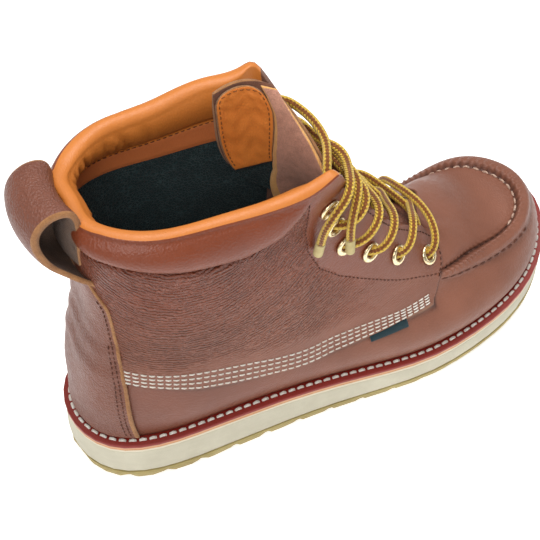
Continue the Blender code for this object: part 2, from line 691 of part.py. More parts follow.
def add_material(name, colour, roughness, metallic=0.0):
    material = bpy.data.materials.new(name)
    material.use_nodes = True
    shader = material.node_tree.nodes["Principled BSDF"]
    shader.inputs["Base Color"].default_value = (*colour, 1.0)
    shader.inputs["Roughness"].default_value = roughness
    shader.inputs["Metallic"].default_value = metallic
    return material


def tread_fractions():
    """Stations along the tread: rounded ends plus the corners of each cross groove."""
    marks = list(end_weighted(30))
    half = LUG_GROOVE / 2
    for groove in np.arange(LUG_PITCH, LENGTH - 12.0, LUG_PITCH):
        for offset in (-half, -half + LUG_FLANK, half - LUG_FLANK, half):
            marks.append((groove + offset) / LENGTH)
    marks = sorted(marks)
    kept = [0.0]
    for mark in marks[1:-1]:
        if mark - kept[-1] > 0.004 and mark < 0.997:
            kept.append(mark)
    return np.array(kept + [1.0])


def build():
    for item in list(bpy.data.objects):
        bpy.data.objects.remove(item)
    leather = add_material("brown_leather", (0.27, 0.12, 0.08), 0.5)
    strap = add_material("strap_leather", (0.31, 0.14, 0.09), 0.5)
    tongue = add_material("tongue_leather", (0.3, 0.14, 0.09), 0.6)
    gum = add_material("gum_rubber", (0.45, 0.34, 0.12), 0.6)
    white = add_material("wedge_rubber", (0.6, 0.55, 0.43), 0.7)
    tan = add_material("midsole_board", (0.55, 0.3, 0.15), 0.6)
    red = add_material("welt_strip", (0.17, 0.02, 0.015), 0.5)
    bed = add_material("insole_leather", (0.5, 0.3, 0.16), 0.7)
    brass = add_material("eyelet_brass", (0.75, 0.6, 0.36), 0.3, 1.0)
    cord = add_material("lace_cord", (0.65, 0.38, 0.05), 0.8)
    tip = add_material("lace_tip", (0.75, 0.62, 0.45), 0.4)

    even = end_weighted(32)
    add_slab("tread", (
        (EDGE_BEVEL, lug_line), (0.0, lambda x: tread_top(x) - 2.5), (0.0, lambda x: tread_top(x) - GAP),
    ), tread_fractions(), gum)
    add_slab("wedge", (
        (0.4, tread_top), (0.0, lambda x: tread_top(x) + 3.0), (0.6, lambda x: wedge_top(x) - GAP),
    ), even, white)
    add_slab("midsole", ((0.6, wedge_top), (0.6, lambda x: midsole_top(x) - GAP)), even, tan)
    add_band("welt", 0.3, WELT_WIDTH, midsole_top, welt_top, even, red)
    under = WELT_WIDTH + GAP
    inside = WELT_MARGIN + WALL + 2.0
    add_slab("insole", (
        (under, midsole_top), (under, lambda x: welt_top(x) + GAP), (inside, lambda x: welt_top(x) + GAP),
        (inside, lambda x: welt_top(x) + GAP + INSOLE),
    ), even, bed)
    add_upper(leather)
    add_backstay(strap)
    add_pull_loop(strap)
    add_tongue(tongue)
    add_eyelets(brass)
    add_lacing(cord)
    add_lace_ends(cord, tip)

    pieces = [item for item in bpy.data.objects if not item.name.startswith("lace_")]
    points = np.array([corner[:] for item in pieces for corner in item.bound_box])
    low, high = points.min(axis=0), points.max(axis=0)
    carrier = bpy.data.objects.new("carrier", None)
    carrier.location = (-(low[0] + high[0]) / 2, -(low[1] + high[1]) / 2, -low[2])
    bpy.context.scene.collection.objects.link(carrier)
    for item in list(bpy.data.objects):
        if item is not carrier:
            item.parent = carrier


build()
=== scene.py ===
"""Looks of a right work boot: leather upper, padded collar, raised toe seam, wedge sole, eyelets and lace.

Sizes are millimetres in the boot's own layout (x forward from the back of the sole, y to the inner side,
z up) and become metres in the frame when a mesh is made.
"""

import math

import bpy
import numpy as np
from mathutils import Matrix, Vector


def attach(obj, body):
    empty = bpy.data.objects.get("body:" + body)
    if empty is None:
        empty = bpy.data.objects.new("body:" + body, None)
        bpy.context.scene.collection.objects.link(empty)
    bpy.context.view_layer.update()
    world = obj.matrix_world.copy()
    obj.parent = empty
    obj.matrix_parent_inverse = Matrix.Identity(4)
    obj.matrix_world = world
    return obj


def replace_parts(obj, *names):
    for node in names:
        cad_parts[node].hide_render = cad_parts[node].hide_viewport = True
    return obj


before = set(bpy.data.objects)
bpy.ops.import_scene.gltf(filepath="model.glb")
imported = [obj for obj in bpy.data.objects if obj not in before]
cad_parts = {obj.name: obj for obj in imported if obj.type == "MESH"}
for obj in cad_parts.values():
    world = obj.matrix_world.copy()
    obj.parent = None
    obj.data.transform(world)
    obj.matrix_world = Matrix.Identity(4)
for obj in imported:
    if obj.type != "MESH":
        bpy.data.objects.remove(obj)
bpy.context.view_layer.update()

MM = 0.001
BOOT_ORIGIN = np.array([-150.468, -5.478, 0.0])

# Camera of the photograph: image 540 x 540
VIEW_AZIMUTH, VIEW_ELEVATION, VIEW_ROLL = -28.0, 49.6, 0.8
VIEW_DISTANCE, VIEW_FOCAL, IMAGE_SIZE = 595.0, 1120.0, 540.0
VIEW_AIM = (123.0, 9.9, 70.0)
SENSOR_WIDTH, CLIP_RANGE = 36.0, (0.01, 20.0)

# Sole, from the CAD
LENGTH = 305.0
SPRING_START, TOE_SPRING = 190.0, 17.0
HEEL_END, BALL_START = 55.0, 205.0
TREAD_HEEL, TREAD_BALL = 7.5, 6.0
WEDGE_HEEL, WEDGE_BALL = 18.5, 10.5
MIDSOLE, WELT = 3.0, 3.0
WELT_MARGIN = 6.0
GAP = 0.3
OUTLINE = (
    (0.0, 0.0, 0.0, 0.0), (14.0, 0.0, 30.0, 29.5), (45.0, 0.0, 40.3, 38.0), (95.0, -1.0, 41.3, 37.0),
    (145.0, -2.0, 43.5, 41.0), (190.0, -1.0, 49.0, 50.0), (225.0, 4.5, 52.0, 53.0), (255.0, 10.0, 50.5, 51.0),
    (280.0, 15.0, 41.5, 42.0), (296.0, 18.0, 26.5, 26.5), (305.0, 19.5, 0.0, 0.0),
)

# Upper, from the CAD: sections from heel to toe, each with five levels above the feather line
SECTION_COLUMNS = (
    "foot_x", "aim_x", "aim_y", "bulge_in", "bulge_z", "seam_in", "seam_z", "ankle_in", "ankle_z",
    "roll_in", "roll_z", "edge_in", "edge_z",
)
SECTIONS = {
    "heel": (0, 45, 0, 2.5, 49, 6.5, 82, 14.0, 114, 12.5, 158, 15.0, 180),
    "heel_corner": (13, 45, 2, 0.0, 49, 3.0, 80, 9.5, 113, 7.5, 158, 9.5, 180),
    "ankle_back": (42, 44, 0, -3.5, 47, -2.0, 71, 0.5, 110, -2.5, 155, -3.0, 180),
    "ankle": (76, 77, 0, -4.0, 45, -2.8, 61, -1.5, 105, -5.0, 152, -7.0, 180),
    "ankle_front": (104, 102, 0, -4.0, 43, -3.2, 54, 0.0, 102, -2.5, 154, -9.5, 183),
    "collar_front": (119, 116, 0, -4.0, 42, -2.8, 52, 1.8, 99, 0.5, 153, -7.0, 185.5),
    "top_corner": (127, 123, 0, -4.0, 41, -1.8, 51.5, 3.2, 97, 3.0, 149, -4.0, 185.5),
    "facing_top": (132, 128, 0, -4.0, 40.5, -1.0, 51.5, 4.2, 95, 5.0, 144, 0.5, 178),
    "facing_upper": (142, 137, 0, -4.0, 40, 0.2, 51.5, 6.0, 92, 8.5, 131, 8.5, 162),
    "facing_high": (160, 154, 0, -4.0, 39, 2.0, 52.0, 9.0, 85, 13.0, 110, 15.5, 135),
    "facing_mid": (182, 178, 0, -4.0, 37, 5.0, 53.0, 12.5, 74, 19.0, 90, 25.0, 106),
    "facing_low": (208, 203, 0, -4.0, 36, 9.5, 55.5, 16.5, 67, 24.5, 76, 33.0, 85),
    "vamp_corner": (244, 210, 9, -3.5, 36, 13.5, 55.5, 24.0, 65, 34.0, 74.5, 47.0, 83),
    "toe_corner": (278, 214, 5, -2.0, 39, 10.0, 56, 29.0, 61.5, 47.0, 70.5, 67.0, 82),
    "toe": (305, 215, 0, 0.5, 44, 8.5, 57.5, 31.0, 60, 58.0, 70, 84.0, 82),
}
SECTION_NAMES = list(SECTIONS)
LEVELS = ("feather", "bulge", "seam", "ankle", "roll", "edge")
LEVEL_AT = (0.0, 18.0, 32.0, 72.0, 108.0, 130.0)
LEVEL_LEAN = (0.0, 0.0, 0.0, 0.5, 2.0, 3.0)
MEDIAL_RISE = (0.0, 0.0, 0.0, 0.5, 2.0, 3.0)
WALL = 3.0

# Heel strap and pull loop, a little fuller than in the CAD
STRAP_LEATHER, OVERLAY_GAP, CUT_FALL = 1.9, 0.8, 0.5
BACKSTAY_FOOT, BACKSTAY_TOP = 40.0, 31.5
BACKSTAY_START, BACKSTAY_LEVEL = 3.0, 99.0
LOOP = (
    (15.0, 155.0), (15.2, 165.0), (16.2, 177.0), (14.0, 186.4), (5.0, 187.7), (-2.4, 180.5), (-2.2, 169.0),
    (3.0, 157.5), (10.5, 149.0), (16.0, 142.0),
)
LOOP_WIDTH, LOOP_ASIDE, LOOP_ROUND, LOOP_FLARE = 35.0, 3.0, 46.0, 12.0
LOOP_LEATHER, LOOP_TUCK = 3.2, 2.6

# Tongue, slightly wider than in the CAD: lateral wing, middle and medial edge, from its root to its top
TONGUE_ROOT = -0.07
TONGUE = (
    (232.0, -1.0, 64.0, 232.0, 8.0, 66.5, 232.0, 16.0, 64.0),
    (220.5, -6.0, 72.2, 220.5, 7.0, 75.6, 221.5, 17.0, 75.0),
    (205.0, -10.5, 77.3, 205.0, 3.0, 80.9, 205.0, 15.0, 78.0),
    (184.0, -13.0, 90.5, 184.0, 2.0, 94.0, 184.0, 13.5, 91.0),
    (166.0, -15.5, 106.0, 162.0, 3.0, 111.0, 152.0, 15.0, 106.0),
    (151.0, -16.0, 126.0, 140.0, 9.0, 132.0, 120.0, 20.0, 128.0),
    (141.0, -18.0, 152.0, 125.0, 13.0, 157.0, 102.5, 20.5, 153.0),
    (135.0, -3.0, 174.0, 118.0, 16.5, 181.0, 98.5, 20.5, 178.0),
    (124.5, 14.5, 193.0, 112.5, 19.0, 197.0, 99.0, 22.0, 192.0),
)
TONGUE_LEATHER = 2.4

# Eyelets and lace, from the CAD
EYELETS = (
    (10.69, 98.7), (9.83, 105.5), (8.9, 103.2), (7.9, 100.5), (7.1, 108.0), (5.9, 115.0),
)
EYELET_RADIUS, EYELET_HOLE, EYELET_FLANGE = 5.6, 2.9, 1.1
LACE_RADIUS = 2.1
BAR_ARCH, CROSS_ARCH = 4.0, 3.0
LACE_ENDS = {
    "lateral": (
        (133.5, -25.0, 147.0), (133.0, -25.0, 156.0), (133.8, -23.5, 162.2), (136.0, -19.5, 166.8),
        (139.0, -14.0, 168.6), (141.7, -7.0, 170.0), (141.8, 0.0, 172.3), (140.3, 7.0, 174.4),
        (136.8, 12.8, 177.2), (132.6, 16.0, 179.7), (128.4, 19.1, 179.2), (125.4, 21.3, 176.4),
        (124.4, 22.1, 172.6), (125.4, 21.3, 168.8), (128.4, 19.1, 166.1), (132.8, 16.4, 165.6),
        (137.0, 12.6, 166.0), (139.9, 9.0, 165.8), (141.7, 3.0, 164.8), (143.6, -4.0, 165.4),
        (145.4, -11.0, 167.4), (146.2, -17.0, 167.0), (144.3, -24.0, 167.0), (140.8, -31.5, 168.7),
        (137.0, -38.0, 168.9), (133.0, -41.6, 166.3), (128.5, -43.6, 163.7), (125.0, -43.8, 158.8),
        (122.6, -42.4, 150.9), (122.0, -41.0, 143.0),
    ),
    "medial": (
        (140.5, 14.0, 155.0), (145.4, 5.0, 155.4), (148.6, -6.0, 158.4), (148.8, -16.0, 158.9),
        (147.6, -27.8, 159.8), (141.6, -37.2, 156.0), (137.8, -41.0, 147.0), (137.6, -41.5, 138.5),
    ),
}
LACE_TIP_RADIUS, LACE_TIP_LENGTH, LACE_TIP_BEVEL = 2.4, 9.0, 0.5

# Eyelets as they look: seat on the leather, lift of the ring, and the barrel set through the leather
EYELET_SEAT, EYELET_LIFT = 0.15, 0.75
BARREL_DEPTH, BARREL_SINK, BARREL_WALL = 2.6, 1.2, 0.4

# Lace as it looks: the way its stripe faces, its slack at the facings as (lift, back) and its meshes
LACE_FACE = np.array([-0.3, -0.57, 0.76])
LACE_SLACK = {"lateral": (4.0, 0.0), "medial": (6.0, -6.0)}
LACE_SIDES, LACE_ROWS, LACE_STEP = 14, 60, 1.6
EASING_ROUNDS = 34
TAIL_ROWS, TAIL_OVERLAP, TAIL_PLAY = 40, 1.5, 0.05

# Seams and panel edges on the upper as (place round the foot, level up the wall)
QUARTER_ROW_LOW = (
    (30, 37.3), (52, 36.2), (70, 33.6), (90, 32.4), (113, 32.8), (155, 32.3), (189, 33.2), (209, 31.9),
)
QUARTER_ROW_HIGH = ((30, 45.4), (62, 44.0), (113, 41.0), (156, 40.2), (190, 41.5), (210, 43.6))
QUARTER_FRONT = (
    (210.2, 30.0), (213.7, 40.0), (218.0, 60.0), (222.1, 76.0), (224.4, 90.0), (225.4, 100.0), (225.4, 109.0),
    (221.0, 119.0), (214.0, 124.5), (205.0, 130.0),
)
THROAT_ROW = ((200.0, 126.2), (180.0, 126.6), (160.0, 126.8), (146.0, 127.0))
STAY_LINE = (
    (124.5, 125.0), (126.4, 106.4), (129.8, 95.2), (137.9, 85.4), (151.5, 81.2), (169.9, 78.1), (202.4, 73.4),
    (216.0, 66.0),
)
COLLAR_SEAM = (
    (0, 116.5), (26, 116.2), (39, 115.2), (53, 113.6), (66, 111.8), (94, 109.8), (110, 113.0), (121, 121.5),
    (131, 130.0),
)
PLUG_SEAM = (
    (214, 66.0), (223, 63.4), (242, 61.8), (262, 62.0), (277, 60.0), (291, 54.0), (304, 49.0), (316, 47.5),
    (328, 48.7), (341, 50.8), (356, 52.5), (370, 51.5), (380, 52.0), (391, 55.0), (405, 60.0), (420, 62.0),
    (440, 61.8), (459, 63.4), (468, 66.0),
)
RIDGE_ROW = (
    (214, 56.0), (223, 49.0), (235, 42.0), (255, 35.0), (268, 32.5), (280, 31.5), (300, 30.5), (320, 31.0),
    (341, 32.0), (362, 31.0), (382, 30.5), (402, 31.5), (414, 32.5), (427, 35.0), (447, 42.0), (459, 49.0),
    (468, 56.0),
)


def spline_matrix(knots, samples, period=None):
    """Rows of weights that turn values at the knots into a cubic spline's values at the samples."""
    knots = np.asarray(knots, float)
    samples = np.atleast_1d(np.asarray(samples, float))
    count = len(knots)
    steps = np.diff(np.append(knots, knots[0] + period)) if period else np.diff(knots)
    bend = np.zeros((count, count))
    rise = np.zeros((count, count))
    for i in range(count):
        if not period and i in (0, count - 1):
            bend[i, i] = 1.0
            continue
        before, after = steps[i - 1], steps[i]
        previous, following = (i - 1) % count, (i + 1) % count
        bend[i, previous] += before / 6
        bend[i, i] += (before + after) / 3
        bend[i, following] += after / 6
        rise[i, previous] += 1 / before
        rise[i, i] -= 1 / before + 1 / after
        rise[i, following] += 1 / after
    curvature = np.linalg.solve(bend, rise)
    if period:
        samples = knots[0] + (samples - knots[0]) % period
    start = np.clip(np.searchsorted(knots, samples, side="right") - 1, 0, len(steps) - 1)
    finish = (start + 1) % count
    step = steps[start][:, None]
    ahead = (samples - knots[start])[:, None] / step
    behind = 1.0 - ahead
    one = np.eye(count)
    line = behind * one[start] + ahead * one[finish]
    curve = (behind**3 - behind) * curvature[start] + (ahead**3 - ahead) * curvature[finish]
    return line + curve * step**2 / 6


def smoothstep(low, high, value):
    """Soft change from 0 below low to 1 above high."""
    part = np.clip((np.asarray(value, float) - low) / (high - low), 0.0, 1.0)
    return part * part * (3.0 - 2.0 * part)


def bell(value, width):
    """Soft bump of height 1 at zero."""
    return np.exp(-((np.asarray(value, float) / width) ** 2))


def unit(vectors):
    """Vectors brought to length 1."""
    return vectors / np.linalg.norm(vectors, axis=-1, keepdims=True)


def reach_along(line):
    """Distance along a line at each of its points."""
    return np.concatenate([[0.0], np.cumsum(np.linalg.norm(np.diff(line, axis=0), axis=1))])


def sampled(line, reach, where):
    """Points of a line at distances along it."""
    return np.column_stack([np.interp(where, reach, column) for column in line.T])


def along_table(table, at):
    """Values of a two-column table at places in its first column."""
    places, values = np.array(table, float).T
    return np.interp(at, places, values)


def pairs(first, second):
    """Every pair of two rows of values, as two flat arrays."""
    return (part.ravel() for part in np.meshgrid(first, second, indexing="ij"))


def turn_of(x):
    """Angle that makes a half-width table round off at heel and toe."""
    return np.arccos(np.clip(1.0 - 2.0 * np.asarray(x, float) / LENGTH, -1.0, 1.0))


def centre_line(x):
    """Sideways place of the sole's centre line."""
    table = np.array(OUTLINE)
    return float(spline_matrix(turn_of(table[:, 0]), turn_of(x))[0] @ table[:, 1])


def outline_sides(inset, fractions):
    """Points of the sole's outline moved in by inset, heel to toe, for the lateral and the medial side."""
    table = np.array(OUTLINE)
    turns = np.linspace(0.0, math.pi, 721)
    weights = spline_matrix(turn_of(table[:, 0]), turns)
    x = LENGTH * (1.0 - np.cos(turns)) / 2.0
    centre = weights @ table[:, 1]
    sides = []
    for column, sign in ((2, -1.0), (3, 1.0)):
        y = centre + sign * (weights @ table[:, column])
        along = unit(np.stack([np.gradient(x), np.gradient(y)], axis=1))
        inward = np.stack([along[:, 1], -along[:, 0]], axis=1) * sign
        inward[0], inward[-1] = (1.0, 0.0), (-1.0, 0.0)
        moved = np.stack([x, y], axis=1) + inset * inward
        order = np.argsort(moved[:, 0])
        at = inset + (LENGTH - 2 * inset) * np.asarray(fractions)
        sides.append(np.stack([at, np.interp(at, moved[order, 0], moved[order, 1])], axis=1))
    return sides


def end_weighted(count):
    """Fractions from 0 to 1, closer together near both ends."""
    return (1.0 - np.cos(np.linspace(0.0, math.pi, count + 1))) / 2.0


def welt_top(x):
    """Height of the welt's upper face."""
    floor = TOE_SPRING * np.clip((x - SPRING_START) / (LENGTH - SPRING_START), 0.0, 1.0) ** 2
    share = smoothstep(HEEL_END, BALL_START, x)
    tread = TREAD_HEEL + (TREAD_BALL - TREAD_HEEL) * share
    wedge = WEDGE_HEEL + (WEDGE_BALL - WEDGE_HEEL) * share
    return floor + tread + wedge + MIDSOLE + WELT


def lattice():
    """Control points of the upper, section by section, and each section's place on the feather line."""
    rows = []
    half = [dict(zip(SECTION_COLUMNS, values)) for values in SECTIONS.values()]
    sides = outline_sides(WELT_MARGIN, end_weighted(400))
    for side, order in ((0, half), (1, half[-2:0:-1])):
        sign = (-1.0, 1.0)[side]
        for row in order:
            foot_x = np.clip(row["foot_x"], WELT_MARGIN, LENGTH - WELT_MARGIN)
            foot = np.array([foot_x, np.interp(foot_x, sides[side][:, 0], sides[side][:, 1])])
            aim = np.array([row["aim_x"], sign * row["aim_y"] + centre_line(row["aim_x"])])
            inward = unit(aim - foot)
            points = [(*foot, welt_top(foot_x) + GAP)]
            upright = 1.0 - smoothstep(70.0, 125.0, foot_x)
            raised = side * smoothstep(40.0, 105.0, foot_x) * (1.0 - smoothstep(130.0, 155.0, foot_x))
            for level, lean, rise in zip(LEVELS[1:], LEVEL_LEAN[1:], MEDIAL_RISE[1:]):
                place = foot + row[level + "_in"] * inward + np.array([0.0, lean * upright])
                points.append((*place, row[level + "_z"] + rise * raised))
            rows.append(points)
    grid = np.array(rows, float)
    around = reach_along(np.concatenate([grid[:, 0], grid[:1, 0]]))
    return grid, around[:-1], around[-1]


GRID, ROUND_AT, ROUND = lattice()
TOE_AT = ROUND_AT[len(SECTIONS) - 1]
LATERAL_AT = ROUND_AT[: len(SECTIONS)]
MEDIAL_AT = np.append(ROUND_AT[len(SECTIONS) - 1:], ROUND)


def section_at(name, side):
    """Place round the feather of a named section on the lateral (-1) or medial (1) side."""
    index = SECTION_NAMES.index(name)
    return ROUND_AT[index] if side < 0 else ROUND_AT[-index % len(ROUND_AT)]


def from_heel(around):
    """Section number counted from the heel along either side."""
    around = np.asarray(around, float) % ROUND
    numbers = np.arange(len(SECTIONS))
    lateral = np.interp(around, LATERAL_AT, numbers)
    medial = np.interp(around, MEDIAL_AT, numbers[::-1])
    return np.where(around <= TOE_AT, lateral, medial)


def folded(around):
    """Place round the foot as if it were on the lateral side."""
    around = np.asarray(around, float) % ROUND
    return np.where(around <= TOE_AT, around, np.interp(around, MEDIAL_AT, LATERAL_AT[::-1]))


def plain_upper(around, level):
    """Points of the upper's smooth outer form at paired places round the foot and up the wall."""
    knots = np.array(LEVEL_AT)
    around, level = np.asarray(around, float), np.asarray(level, float)
    controls = np.einsum("ir,rkc->ikc", spline_matrix(ROUND_AT, around, ROUND), GRID)
    chords = np.diff(controls, axis=1)
    steps = np.linalg.norm(chords, axis=2)
    slopes = chords / steps[:, :, None]
    inner = len(knots) - 2
    system = np.zeros((len(around), inner, inner))
    for i in range(inner):
        system[:, i, i] = 2 * (steps[:, i] + steps[:, i + 1])
        if i:
            system[:, i, i - 1] = system[:, i - 1, i] = steps[:, i]
    curvature = np.zeros_like(controls)
    curvature[:, 1:-1] = np.linalg.solve(system, 6 * np.diff(slopes, axis=1))
    start = np.clip(np.searchsorted(knots, level, side="right") - 1, 0, inner)
    row = np.arange(len(around))
    ahead = ((level - knots[start]) / np.diff(knots)[start])[:, None]
    behind = 1.0 - ahead
    line = behind * controls[row, start] + ahead * controls[row, start + 1]
    bend = (behind**3 - behind) * curvature[row, start] + (ahead**3 - ahead) * curvature[row, start + 1]
    return line + bend * steps[row, start][:, None] ** 2 / 6


def upper_normals(around, level):
    """Outward directions of the smooth form."""
    step = 0.5
    low, high = np.clip(level - step, 0, LEVEL_AT[-1]), np.clip(level + step, 0, LEVEL_AT[-1])
    along = plain_upper(around + step, level) - plain_upper(around - step, level)
    up = plain_upper(around, high) - plain_upper(around, low)
    return unit(np.cross(along, up))


def table_at(table, around):
    """Level of a seam table at places round the foot, mirrored where the table has one side only."""
    has_both = table[-1][0] > TOE_AT
    return along_table(table, np.asarray(around, float) % ROUND if has_both else folded(around))


def medial_place(around):
    """Distance from the heel along the medial side, 0 on the lateral side."""
    around = around % ROUND
    return np.where(around > TOE_AT, ROUND - around, 0.0)


def collar_share(around):
    """1 along the padded collar, 0 along the eyelet facings and the throat."""
    start, end = SECTION_NAMES.index("ankle_front") + 0.3, SECTION_NAMES.index("top_corner")
    return 1.0 - smoothstep(start, end, from_heel(around))


def toe_share(around):
    """1 along the raised toe seam, 0 behind the quarters."""
    return smoothstep(214.0, 228.0, folded(around))


# Relief of the leather, in millimetres
COLLAR_ROLL = 6.0
COLLAR_CREASE = 2.2
RIM_DROP = 2.2
TOE_RIDGE = 3.0
QUARTER_STEP, QUARTER_MARGIN = 1.8, 1.7
THROAT_FILL = 4.5
THROAT_REACH = (-7.0, 0.0, 3.6)
PUCKER, PUCKER_PITCH = 0.8, 5.0

# Main creases of the shaft and the collar lining: both ends as (place, level), width and depth
SHAFT_CREASES = (
    (96, 100, 120, 84, 2.6, 0.45), (100, 92, 128, 72, 2.2, 0.4), (86, 90, 116, 66, 2.6, 0.4),
    (70, 84, 104, 60, 2.4, 0.35), (112, 100, 124, 92, 2.0, 0.5), (56, 90, 84, 74, 2.4, 0.3),
    (120, 78, 138, 62, 2.2, 0.35), (84, 74, 110, 52, 2.6, 0.3), (40, 96, 64, 88, 2.2, 0.3),
)
LINING_CREASES = (
    (588, 116, 592, 127, 1.7, 1.0), (598, 116, 605, 127, 1.5, 1.5), (604, 116, 609, 124, 1.2, 0.9),
    (611, 116, 614, 126, 1.6, 1.2), (626, 116, 630, 126, 1.5, 1.6), (637, 116, 636, 125, 1.6, 1.3),
    (645, 117, 643, 126, 1.4, 1.1), (655, 116, 652, 126, 1.6, 1.3), (10, 116, 12, 126, 1.7, 1.0),
    (60, 117, 64, 126, 1.8, 0.8),
)


def trough(around, level, crease):
    """Soft furrow between two places."""
    start_u, start_v, end_u, end_v, width, depth = crease
    run = np.array([end_u - start_u, end_v - start_v])
    share = ((around - start_u) * run[0] + (level - start_v) * run[1]) / (run @ run)
    near = np.clip(share, 0.0, 1.0)
    gap = np.hypot(around - start_u - near * run[0], level - start_v - near * run[1])
    fade = smoothstep(-0.15, 0.3, share) * (1.0 - smoothstep(0.7, 1.15, share))
    return depth * fade * (bell(gap, width) - 0.45 * bell(gap - 1.7 * width, width))


def quarter_front(level):
    """Place round the foot of the quarter's front edge."""
    places, levels = np.array(QUARTER_FRONT).T
    return np.interp(level, levels, places)


def quarter_inside(around, level):
    """Distance inside the quarter's lower and front edges, negative on the vamp."""
    low = table_at(QUARTER_ROW_LOW, around) - QUARTER_MARGIN
    return np.minimum(level - low, quarter_front(level) - folded(around))


def collar_relief(around, level):
    """Padded roll above the collar seam, fuller on the lateral side, and the soft crease below it."""
    seam = np.minimum(table_at(COLLAR_SEAM, around), 126.0)
    top = LEVEL_AT[-1] - RIM_DROP
    share = np.clip((level - seam) / (top - seam), 0.0, 1.0)
    size = np.clip((top - seam) / 16.0, 0.0, 1.0)
    fullness = 1.0 - 0.6 * smoothstep(0.0, 40.0, medial_place(around))
    fullness = fullness * (1.0 - smoothstep(118.0, 131.0, folded(around)))
    fullness = fullness * (0.2 + 0.8 * smoothstep(14.0, 32.0, folded(around)))
    roll = COLLAR_ROLL * np.sin(math.pi * share**0.85) ** 0.75 * size
    crease = COLLAR_CREASE * bell(level - seam + 0.6, 2.1)
    return (roll - crease) * fullness


def toe_relief(around, level):
    """Ridge between the outer stitch row and the plug seam, with puckers at the seam."""
    seam, foot = table_at(PLUG_SEAM, around), table_at(RIDGE_ROW, around)
    share = (level - foot) / (seam - foot)
    rise = smoothstep(-0.35, 0.4, share) * (1.0 - smoothstep(0.86, 1.07, share))
    pucker = np.sin(2 * math.pi * around / PUCKER_PITCH + 0.9 * np.sin(around / 7.0))
    gather = PUCKER * pucker * (bell(share - 0.82, 0.2) + 0.45 * bell(share - 1.22, 0.14))
    crease = 1.1 * bell(share - 1.05, 0.11) + 0.5 * bell(share + 0.02, 0.09)
    plump = 0.7 * smoothstep(1.1, 1.8, share) - 2.0 * smoothstep(112.0, 130.0, level)
    return (TOE_RIDGE * rise + gather - crease + plump) * toe_share(around)


def outer_relief(around, level):
    """How far the leather stands out from the smooth form."""
    soft = 0.25 * np.sin(around / 9.0 + level / 13.0) * np.sin(level / 11.0 - around / 23.0)
    soft = soft * smoothstep(45.0, 60.0, level) * (1.0 - smoothstep(200.0, 214.0, folded(around)))
    creases = sum(trough(folded(around), level, crease) for crease in SHAFT_CREASES)
    medial = smoothstep(TOE_AT + 60.0, TOE_AT + 90.0, around % ROUND)
    fill = THROAT_FILL * bell(folded(around) - 217.0, 17.0) * bell(level - 80.0, 22.0) * medial
    edge = smoothstep(-0.5, 0.5, quarter_inside(around, level))
    panels = fill + QUARTER_STEP * edge + collar_relief(around, level) + toe_relief(around, level)
    return panels + soft - creases


def throat_shift(around, level):
    """Draw the rear end of the plug back over the foot of the tongue."""
    share = smoothstep(110.0, 130.0, level) * smoothstep(214.0, 252.0, folded(around))
    return share[:, None] * np.array(THROAT_REACH)


def upper_form(around, level, raised=0.0):
    """Points of the finished leather surface, moved out by raised."""
    around, level = np.broadcast_arrays(np.asarray(around, float), np.asarray(level, float))
    around, level = around.ravel(), level.ravel()
    out = outer_relief(around, level) + np.ravel(raised)
    skin = plain_upper(around, level) + upper_normals(around, level) * out[:, None]
    return skin + throat_shift(around, level)


# Lining of the collar: roll above its seam, flat strip below it, then the mesh lining
LINING_SEAM, LINING_STRIP = 115.6, 107.6
LINING_PAD = 5.4


def lining_form(around, level):
    """Inner face of the wall."""
    around, level = around.ravel(), level.ravel()
    share = np.clip((level - LINING_SEAM) / (LEVEL_AT[-1] - RIM_DROP - LINING_SEAM), 0.0, 1.0)
    reach = 0.89 - 0.24 * smoothstep(10.0, 50.0, medial_place(around))
    roll = np.sin(math.pi * (0.03 + reach * share)) ** 0.8 * smoothstep(0.0, 0.06, share)
    strip = 0.5 * smoothstep(LINING_STRIP - 0.4, LINING_STRIP + 0.4, level)
    seam = 0.7 * bell(level - LINING_SEAM, 0.9)
    creases = sum(trough(around, level, crease) for crease in LINING_CREASES)
    thick = WALL + collar_share(around) * (LINING_PAD * roll + strip - seam - creases)
    inner = plain_upper(around, level) - upper_normals(around, level) * thick[:, None]
    inner += throat_shift(around, level)
    foot = level <= 0.0
    inner[foot, 2] = plain_upper(around[foot], level[foot])[:, 2]
    return inner


def tongue_skin(rise, across):
    """Middle surface of the tongue: rise up to 1 at the top, across from wing -1 to medial edge 1."""
    knots = np.append(TONGUE_ROOT, np.linspace(0.0, 1.0, len(TONGUE) - 1))
    wing, middle, medial = np.split(spline_matrix(knots, rise) @ np.array(TONGUE), 3, axis=1)
    q = np.asarray(across, float)[:, None]
    return wing * q * (q - 1) / 2 + middle * (1 - q * q) + medial * q * (q + 1) / 2


def tongue_form(rise, across, raised):
    """Points of the tongue moved toward the foot by raised."""
    step = 0.004
    low, high = np.clip(rise - step, TONGUE_ROOT, 1), np.clip(rise + step, TONGUE_ROOT, 1)
    up = tongue_skin(high, across) - tongue_skin(low, across)
    side = tongue_skin(rise, across + step) - tongue_skin(rise, across - step)
    return tongue_skin(rise, across) - unit(np.cross(side, up)) * np.reshape(raised, (-1, 1))


def route(points, count):
    """Evenly spaced points along a smooth curve through route points."""
    points = np.asarray(points, float)
    knots = reach_along(points)
    fine = spline_matrix(knots, np.linspace(0.0, knots[-1], 40 * len(points))) @ points
    reach = reach_along(fine)
    return sampled(fine, reach, np.linspace(0.0, reach[-1], count))


